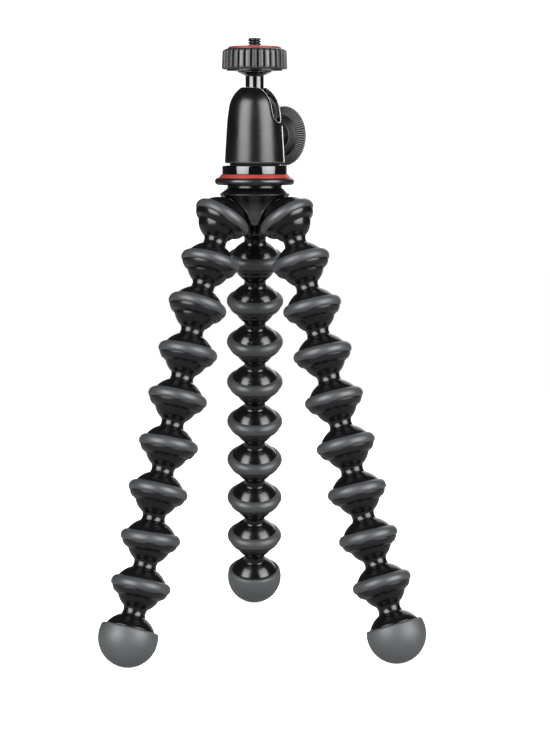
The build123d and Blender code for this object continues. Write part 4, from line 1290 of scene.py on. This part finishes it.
@dataclass(frozen=True)
class Housing:
    """Ball housing with its portrait slot, flat and knob boss.

    Its heights are in millimetres above the CAD housing's lower face.
    """

    radius: float = 14.4
    foot: Point = (13.9, -0.55)
    waist: Point = (13.25, 18.7)
    flank: Point = (12.85, 22.4)
    crown: tuple[Point, Point, Point] = ((6.35, 35.65), (10.4, 31.4), (12.3, 26.0))
    ball_height: float = 23.6
    cavity: float = 10.3
    mouth: float = 6.3
    slot_azimuth: float = -23.0
    slot_half: float = 4.7
    bevel: Point = (1.8, 0.5)
    bevel_reach: float = 20.0
    lip_section: tuple[Point, ...] = ((0.945, -0.24), (0.99, -0.22), (0.985, 0.1), (0.9, 0.1))
    lip_span: Point = (0.2, 18.6)
    knob_azimuth: float = 46.0
    knob_height: float = 12.55
    knob_stand: float = 17.8
    flat: float = 12.2
    boss: float = 6.4
    boss_span: Point = (10.2, 17.2)
    bolt: float = 2.55
    bolt_reach: float = 19.0
    above: float = 38.0
    beyond: float = 16.0
    below: float = -1.0
    crease: float = 30.0

    def knob_place(self, distance: float) -> Matrix:
        """Finds a place on the knob's axis.

        Args:
            distance: How far it is from the head's axis.

        Returns:
            The place, its Z pointing outwards.
        """
        return (
            Matrix.Rotation(math.radians(self.knob_azimuth), 4, "Z")
            @ Matrix.Translation((distance, 0, self.knob_height))
            @ Matrix.Rotation(math.pi / 2, 4, "Y")
        )

    def _form(self, line: Outline) -> Outline:
        """Runs a line on from the top of the crown down to the waist."""
        return line.arc(self.crown[1], self.crown[2], 32).arc(self.flank, self.waist, 10)

    def outside(self) -> bpy.types.Mesh:
        """Turns the outer form.

        Returns:
            The solid form, before anything is cut from it.
        """
        line = self._form(Outline((0, self.crown[0][1])).to(self.crown[0], soft=0.25))
        line.to((self.radius, 0.0), self.foot, soft=0.3).to((0, self.foot[1]))
        return turned("housing_outside", line, 192)

    def lip(self) -> bpy.types.Mesh:
        """Builds a narrow upright lip on the side, in front of the knob, that catches the light.

        Returns:
            The lip's mesh.
        """
        bm = bmesh.new()
        ends = [[bm.verts.new((radius * across, radius * along, height))
                 for across, along in self.lip_section]
                for height, radius in zip(self.lip_span, (self.radius, self.waist[0]))]
        for end in ends:
            bm.faces.new(end)
        band(bm, *ends, closed=True)
        return made(bm, "side_lip")

    def flare(self) -> bpy.types.Mesh:
        """Builds the tool that bevels the slot's edge all the way round.

        Returns:
            The tool's mesh, its middle plane along X.
        """
        side = self._form(Outline(self.crown[0])).to((self.radius, 0.0)).softened()
        radii, heights, _ = zip(*sorted(side, key=lambda point: point[1]))
        wide, sink = self.bevel

        def depth(across: float, height: float) -> float:
            """Distance along X to the side, off the middle plane by a distance and at a height."""
            radius = blend(heights, radii, max(height, heights[0]))
            return math.sqrt(max(radius ** 2 - across ** 2, 1.0))

        steps, half = 40, self.slot_half
        line = [(half, self.above - (self.above - self.ball_height) * step / steps, 1.0, 0.0)
                for step in range(steps + 1)]
        turns = 24
        for step in range(1, turns + 1):
            aside, down = (turn(math.pi / 2 * step / turns) for turn in (math.cos, math.sin))
            line.append((half * aside, self.ball_height - half * down, aside, -down))
        bm = bmesh.new()
        sections = []
        for across, height, aside, down in line:
            inner = depth(across, height) - sink
            slope = depth(across + wide * aside, height + wide * down) - inner
            outer = (across + 2 * wide * aside, height + 2 * wide * down)
            right = [(inner, across, height), (inner + 2 * slope, *outer),
                     (self.bevel_reach, *outer)]
            left = [(u, -v, z) for u, v, z in reversed(right)]
            sections.append([bm.verts.new(point) for point in right + left])
        for first, second in zip(sections, sections[1:]):
            band(bm, first, second, closed=True)
        bm.faces.new(sections[0])
        bmesh.ops.remove_doubles(bm, verts=bm.verts, dist=SAME_CORNER)
        return made(bm, "slot_flare")

    @staticmethod
    def block(low: Vector, high: Vector, place: Matrix) -> bpy.types.Mesh:
        """Builds a box.

        Args:
            low: Its lower corner.
            high: Its upper corner.
            place: Place that it is then set at.

        Returns:
            The box's mesh.
        """
        bm = bmesh.new()
        bmesh.ops.create_cube(bm, size=1.0)
        mesh = made(bm, "block", outwards=False)
        size = Matrix.Diagonal((*(high - low), 1))
        mesh.transform(place @ Matrix.Translation((low + high) / 2) @ size)
        return mesh

    def build(self, base: Matrix) -> None:
        """Builds the housing.

        Args:
            base: Place of the housing's lower face on the head's axis, in metres.
        """
        slot_turn = Matrix.Rotation(math.radians(self.slot_azimuth), 4, "Z")
        knob_turn = Matrix.Rotation(math.radians(self.knob_azimuth), 4, "Z")
        slot_place = (slot_turn @ Matrix.Translation((0, 0, self.ball_height))
                      @ Matrix.Rotation(math.pi / 2, 4, "Y"))
        bore = Outline((0, self.ball_height + self.cavity))
        bore.ball(self.cavity, self.ball_height, (self.cavity, self.ball_height), 24)
        bore.to((self.cavity, self.below), (0, self.below))
        boss = turned("boss", rod(self.boss, *self.boss_span, 0.3))
        hole = turned("bolt_hole", rod(self.bolt, 0.0, self.bolt_reach), 48)
        slot_end = turned("slot_end", rod(self.slot_half, 0.0, self.beyond))
        flare = self.flare()
        for tool, place in ((boss, self.knob_place(0.0)), (hole, self.knob_place(0.0)),
                            (slot_end, slot_place), (flare, slot_turn)):
            tool.transform(place)
        gap = self.block(Vector((0, -self.slot_half, self.ball_height)),
                         Vector((self.beyond, self.slot_half, self.above)), slot_turn)
        face_top = self.knob_height + self.boss
        face = self.block(Vector((self.flat, -self.radius, self.below)),
                          Vector((self.beyond, self.radius, face_top)), knob_turn)
        mouth = turned("mouth", rod(self.mouth, self.ball_height, self.above))
        mesh = carved(self.outside(), [
            (Carve.JOIN, self.lip()), (Carve.CUT, face), (Carve.JOIN, boss),
            (Carve.CUT, turned("bore", bore)), (Carve.CUT, mouth), (Carve.CUT, slot_end),
            (Carve.CUT, gap), (Carve.CUT, hole), (Carve.CUT, flare),
        ], self.crease)
        fitted("housing_shell", placed(mesh, base), Slot.HOUSING, "housing", "ball_housing")


@dataclass(frozen=True)
class LockKnob:
    """Ridged lock knob and its cap, in millimetres along the knob's axis from its inner face."""

    radius: float = 14.5
    bore: float = 2.52
    seat: float = 4.2
    bulge: Point = (6.9, 0.5)
    bulge_foot: Point = (9.2, 1.6)
    bulge_edge: Point = (9.7, 1.5)
    face_edge: Point = (10.1, 0.1)
    face: Point = (10.4, 0.04)
    cone: float = 2.4
    rim: float = 0.3
    outer: float = 10.0
    length: float = 7.4
    recess: Point = (9.05, 6.4)
    head_room: Point = (4.63, 3.4)
    cap: float = 9.0
    cap_dome: float = 81.25
    cap_rise: float = 0.5
    steps: int = 12
    ridges: Relief = Relief(count=72, depth=0.8, land=0.25, slope=0.45)

    def build(self, place: Matrix) -> None:
        """Builds the knob and its cap.

        Args:
            place: Place of the knob's inner face, its Z pointing outwards, in metres.
        """
        line = Outline((self.bore, 0)).to((self.seat, 0)).arc(self.bulge, self.bulge_foot, 12)
        line.to(self.bulge_edge, soft=0.2).to(self.face_edge).to(self.face)
        shoulder = self.cone + self.rim
        for share in (step / self.steps for step in range(self.steps + 1)):
            radius = self.face[0] + (self.radius - self.face[0]) * share
            line.to((radius, self.cone * share), mask=min(1.0, share * 12))
        for share in (step / self.steps for step in range(self.steps + 1)):
            radius = self.radius - (self.radius - self.outer) * share
            height = shoulder + (self.length - self.cone - self.rim) * share
            line.to((radius, height), mask=min(1.0, 1.7 - 2 * share))
        line.points[-1] = (self.outer, self.length, 0.0)
        line.to((self.recess[0], self.length), self.recess, (self.head_room[0], self.recess[1]))
        line.to(self.head_room, (self.bore, self.head_room[1]))
        mesh = turned("knob", line, self.ridges.count * 8, ring=True)
        ridged = self.ridges.on(mesh, Slot.KNOB, "lock_knob_ridged")
        fitted("lock_knob_ridged", placed(ridged, place), Slot.KNOB, "knob", "lock_knob")
        top = self.length + self.cap_rise
        cap = Outline((0, self.recess[1])).to((self.cap, self.recess[1]))
        cap.to((self.cap, self.length), soft=0.15)
        cap.ball(self.cap_dome, top - self.cap_dome, (0, top), 12)
        fitted("lock_knob_cap", placed(turned("cap", cap), place), Slot.KNOB, "knob", "knob_cap")


@dataclass(frozen=True)
class CameraPlate:
    """Ball stem, fluted mounting disc, pad and camera screw.

    Their heights are in millimetres above the ball's centre.
    """

    ball: float = 10.2
    stem: float = 4.42
    stem_top: float = 17.5
    collar: float = 8.1
    collar_span: Point = (19.2, 19.7)
    spigot: Point = (4.2, 27.6)
    screw_seat: Point = (3.195, 15.6)
    disc_radius: float = 15.7
    disc_bore: float = 4.28
    disc_foot: float = 13.35
    disc_low: float = 20.55
    disc_high: float = 30.25
    disc_step: float = 0.7
    disc_edge: float = 0.7
    disc_draft: float = 0.35
    disc_rim: float = 13.5
    pad_room: float = 12.82
    pad_floor: float = 0.3
    collar_room: Point = (5.7, 27.5)
    disc_brow: Point = (15.3, 14.75)
    pad_radius: float = 12.8
    pad_bore: float = 3.475
    pad_top: float = 31.45
    screw: float = 3.175
    screw_foot: float = 15.62
    screw_rise: float = 3.8
    screw_collar: tuple[float, float, float] = (5.5, 27.6, 28.8)
    screw_neck: float = 2.7
    thread_rows: int = 56
    flutes: Relief = Relief(count=30, depth=0.8, land=0.46, slope=0.42)
    thread: Relief = Relief(count=1, depth=0.75, land=0.22, slope=0.6, turns_per_mm=1 / 1.27)

    def build(self, base: Matrix) -> None:
        """Builds the pieces that tilt with the ball.

        Args:
            base: Place of the ball's centre, in metres.
        """
        bore, foot = self.screw_seat
        line = Outline((0, foot)).to((bore, foot), (bore, self.spigot[1])).to(self.spigot, soft=0.2)
        low, high = self.collar_span
        line.to((self.spigot[0], high), (self.collar, high)).to((self.collar, low), soft=0.2)
        line.to((self.stem, self.stem_top), soft=0.5)
        line.to((self.stem, rise(self.ball, self.stem)), soft=0.3)
        line.ball(self.ball, 0, (self.ball, 0), 20).ball(self.ball, 0, (0, -self.ball), 24)
        fitted("ball_and_stem", placed(turned("stem", line), base), Slot.STEM, "stem", "ball_stem")
        self._disc(base)
        self._pad(base)
        self._screw(base)

    def _disc(self, base: Matrix) -> None:
        """Builds the disc, its flutes cut along its side.

        Args:
            base: Place of the ball's centre, in metres.
        """
        low, high, edge, radius = self.disc_low, self.disc_high, self.disc_edge, self.disc_radius
        foot, floor = low - self.disc_step, high - self.pad_floor
        line = Outline((self.disc_bore, foot))
        line.to((self.disc_foot, foot), (self.disc_foot, low), soft=0.12).to((radius - edge, low))
        line.to((radius - 0.25, low + 0.2), mask=0.2).to((radius, low + edge), mask=1.0)
        for share in (step / 8 for step in range(1, 8)):
            height = low + edge + (high - low - 2.1 * edge) * share
            line.to((radius - self.disc_draft * share, height), mask=1.0)
        lower, upper = self.disc_brow
        line.to((lower, high - 1.6 * edge), mask=1.0).to((upper, high - 0.55), mask=0.7)
        line.to((self.disc_rim, high), mask=0.2).to((self.pad_room, high), (self.pad_room, floor))
        room, ceiling = self.collar_room
        line.to((room, floor), self.collar_room, (self.disc_bore, ceiling))
        mesh = turned("disc", line, self.flutes.count * 16, ring=True)
        fluted = self.flutes.on(mesh, Slot.DISC, "mounting_disc_fluted")
        fitted("mounting_disc_fluted", placed(fluted, base), Slot.DISC, "disc", "mounting_disc")

    def _pad(self, base: Matrix) -> None:
        """Builds the pad, let into the top of the disc.

        Args:
            base: Place of the ball's centre, in metres.
        """
        top, radius, foot = self.pad_top, self.pad_radius, self.disc_high - self.pad_floor
        # Mask 1 paints the pad's side a darker red than its top: painted shade.
        line = Outline((self.pad_bore, foot)).to((radius, foot), (radius, top - 1.0), mask=1.0)
        line.to((radius - 0.3, top - 0.45), mask=0.5).to((radius - 1.1, top - 0.05))
        line.to((self.pad_bore, top))
        pad = placed(turned("pad", line, 128, ring=True), base)
        fitted("camera_pad", pad, Slot.PAD, "disc", "disc_pad")

    def _screw(self, base: Matrix) -> None:
        """Builds the camera screw, with a real helical thread above the pad.

        Args:
            base: Place of the ball's centre, in metres.
        """
        top, (collar, low, high) = self.pad_top + self.screw_rise, self.screw_collar
        line = Outline((0, self.screw_foot)).to((self.screw, self.screw_foot), (self.screw, low))
        line.to((collar, low), (collar, high), (self.screw_neck, high))
        line.to((self.screw_neck, self.pad_top), (self.screw - 0.3, self.pad_top))
        for share in (step / self.thread_rows for step in range(self.thread_rows + 1)):
            height = self.pad_top + 0.05 + (self.screw_rise - 0.45) * share
            line.to((self.screw, height), mask=min(1.0, share * 6, 0.35 + (1 - share) * 6))
        line.to((self.screw - 0.45, top), soft=0.12).to((0, top))
        threaded = self.thread.on(turned("screw", line, 72), Slot.SCREW, "camera_screw_threaded")
        fitted("camera_screw_threaded", placed(threaded, base), Slot.SCREW, "stem", "camera_screw")


@dataclass(frozen=True)
class Studio:
    """Pale floor and backdrop, three soft lights and the photograph's camera.

    Two of the lights are tall and in front, and the third is a rim light behind. Each has its
    azimuth from the camera's side in degrees, its width in metres and its power in watts.
    """

    camera_from_axis: tuple[float, float, float] = (9.7, -1042.2, 245.6)
    tilt: float = 6.105
    focal_pixels: float = 2163.9
    frame_height: float = 733.0
    soft_lights: tuple[tuple[float, float, float], ...] = (
        (-43.5, 0.92, 9.5), (51.5, 1.02, 10.5), (161.0, 0.5, 0.7))
    light_distance: float = 1.0
    light_length: float = 1.1
    light_height: float = 0.52
    light_spread: float = 95.0
    light_target: float = 0.15
    floor_half: float = 1.0
    backdrop_half: float = 0.6
    backdrop_depth: float = 3.0
    backdrop_height: float = 0.8
    fill: float = 0.22
    mirrored_fill: float = 0.05

    def camera(self, axis: Vector) -> None:
        """Sets the camera where the photograph was taken from.

        Args:
            axis: Foot of the head's axis, in metres.
        """
        data = bpy.data.cameras.new("photo_camera")
        data.sensor_width = 36.0
        data.lens = self.focal_pixels * data.sensor_width / self.frame_height
        data.clip_start, data.clip_end = 0.05, 20.0
        item = bpy.data.objects.new("photo_camera", data)
        item.location = axis + Vector(self.camera_from_axis) * MM
        item.rotation_euler = (math.radians(90 - self.tilt), 0.0, 0.0)
        bpy.context.scene.collection.objects.link(item)
        bpy.context.scene.camera = item

    def lights(self, axis: Vector) -> None:
        """Hangs the soft lights.

        Args:
            axis: Foot of the head's axis, in metres.
        """
        target = Vector((axis.x, axis.y, self.light_target))
        for number, (azimuth, width, power) in enumerate(self.soft_lights, start=1):
            data = bpy.data.lights.new(f"soft_light_{number}", "AREA")
            data.shape, data.energy = "RECTANGLE", power
            data.spread = math.radians(self.light_spread)
            data.size, data.size_y = width, self.light_length
            item = bpy.data.objects.new(data.name, data)
            angle = math.radians(azimuth)
            away = Vector((math.sin(angle), -math.cos(angle), 0.0)) * self.light_distance
            item.location = target + away + Vector((0, 0, self.light_height - target.z))
            facing = (target - item.location).to_track_quat("-Z", "Y")
            item.rotation_euler = facing.to_euler()
            bpy.context.scene.collection.objects.link(item)

    @staticmethod
    def _pale(name: str, shade: float, camera: float, gloss: float) -> bpy.types.Material:
        """Pale paper that shows white to the camera and in gloss, and keeps the object's shadow.

        Args:
            name: Name of the material.
            shade: Grey of the paper.
            camera: Light added where the camera sees it.
            gloss: Light of the paper in a reflection or through a clear piece.

        Returns:
            The material.
        """
        material = bpy.data.materials.new(name)
        material.use_nodes = True
        tree = material.node_tree
        tree.nodes.clear()
        make = NodeWriter(tree)
        path = make.add("ShaderNodeLightPath")
        mirrored = make.maths("MAXIMUM", path.outputs["Is Glossy Ray"],
                              path.outputs["Is Transmission Ray"])
        glow = make.maths("MULTIPLY", path.outputs["Is Camera Ray"], camera)
        paper = make.add("ShaderNodeBsdfDiffuse", {"Color": (shade, shade, shade, 1.0)})
        light = make.add("ShaderNodeEmission", {"Strength": glow})
        seen = make.add("ShaderNodeAddShader", {0: paper.outputs[0], 1: light.outputs[0]})
        flat = make.add("ShaderNodeEmission", {"Strength": gloss})
        both = make.add("ShaderNodeMixShader",
                        {0: mirrored, 1: seen.outputs[0], 2: flat.outputs[0]})
        make.add("ShaderNodeOutputMaterial", {0: both.outputs[0]})
        return material

    def room(self) -> None:
        """Lays the floor and stands the backdrop, and sets the world's even fill."""
        half, wide = self.floor_half, self.backdrop_half
        far, high = self.backdrop_depth, self.backdrop_height
        spots = {
            "floor": ([(-half, -half, 0), (half, -half, 0), (half, half, 0), (-half, half, 0)],
                      self._pale("floor_paper", shade=0.75, camera=0.8, gloss=0.4)),
            "backdrop": ([(-wide, far, 0), (wide, far, 0), (wide, far, high), (-wide, far, high)],
                         self._pale("backdrop_paper", shade=0.8, camera=1.0, gloss=1.0)),
        }
        for name, (corners, material) in spots.items():
            mesh = bpy.data.meshes.new(name)
            mesh.from_pydata(corners, [], [(0, 1, 2, 3)])
            mesh.materials.append(material)
            item = bpy.data.objects.new(name, mesh)
            bpy.context.scene.collection.objects.link(item)
        world = bpy.data.worlds.new("studio_air")
        bpy.context.scene.world = world
        world.use_nodes = True
        tree = world.node_tree
        tree.nodes.clear()
        make = NodeWriter(tree)
        path = make.add("ShaderNodeLightPath")
        strength = make.add("ShaderNodeMapRange", {
            0: path.outputs["Is Glossy Ray"], 3: self.fill, 4: self.mirrored_fill,
        }).outputs[0]
        seen = make.maths("MAXIMUM", strength, path.outputs["Is Camera Ray"])
        air = make.add("ShaderNodeBackground", {"Color": (1.0, 1.0, 1.0, 1.0), "Strength": seen})
        make.add("ShaderNodeOutputWorld", {0: air.outputs[0]})


class Tripod:
    """The whole object: it finds the frame's places and builds its sub-assemblies in order."""

    def __init__(self, frame: dict[str, Any]) -> None:
        """Reads where the joints are.
        """
        self.nodes = frame["nodes"]
        self.joints = {joint["name"]: Vector(joint["pos_m"]) for joint in frame["joints"]
                       if "pos_m" in joint}
        self.ball = self.joints["head_pan"]
        self.axis = Vector((self.ball.x, self.ball.y, 0.0))
        self.link, self.foot = LinkForm(), FootForm()

    def at(self, height: float) -> Matrix:
        """Place on the head's axis at a height in metres."""
        return Matrix.Translation(self.axis + Vector((0, 0, height)))

    def legs(self) -> None:
        """Builds the three legs from one set of unit pieces."""
        meshes = {
            "moulding": self.link.moulding(),
            "ring": self.link.grip_ring(self.link.pitch),
            "foot": self.foot.moulding(self.link),
            "boot": self.foot.boot(),
        }
        units = {name: bpy.data.objects.new(f"unit_{name}", mesh) for name, mesh in meshes.items()}
        for unit in units.values():
            bpy.context.scene.collection.objects.link(unit)
        for leg in Leg:
            LegChain(leg, self.joints, self.link, self.foot).build(units)
        for unit in units.values():
            bpy.data.objects.remove(unit)

    def head(self) -> None:
        """Builds the hub and everything above it."""
        socket_height = self.joints["left_bend_1"].z
        hub, housing = Hub(), Housing()
        hub.build(self.link, self.at(socket_height))
        PanStack().build(self.at(socket_height + hub.top * MM))
        lower = self.ball.z - housing.ball_height * MM
        housing.build(self.at(lower))
        knob = housing.knob_place(housing.knob_stand)
        LockKnob().build(self.at(lower) @ Matrix.Scale(MM, 4) @ knob @ Matrix.Scale(1 / MM, 4))
        CameraPlate().build(self.at(self.ball.z))

    def hidden_pieces(self) -> None:
        """Dresses the CAD nodes that stay: fasteners, washers and the brake seat."""
        looks = {
            "hub_stud": Slot.STEEL, "pan_washer": Slot.STEEL, "pan_screw": Slot.STEEL,
            "housing_floor": Slot.STEEL, "knob_bolt": Slot.STEEL, "brake_seat": Slot.SEAT,
            "knob_washer": Slot.KNOB,
        }
        for name, slot in looks.items():
            item = self.nodes[name]
            item.data.materials.clear()
            item.data.materials.append(FINISHES[slot].build())
            LOG.info("%s keeps its CAD shape", name)


def main() -> None:
    """Builds the tripod, then the studio."""
    logging.basicConfig(level=logging.INFO, format="%(name)s %(message)s")
    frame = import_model()
    bpy.context.scene.view_settings.view_transform = "Standard"
    tripod = Tripod(frame)
    studio = Studio()
    studio.camera(tripod.axis)
    tripod.legs()
    tripod.head()
    tripod.hidden_pieces()
    studio.room()
    studio.lights(tripod.axis)


if __name__ == "__main__":
    main()
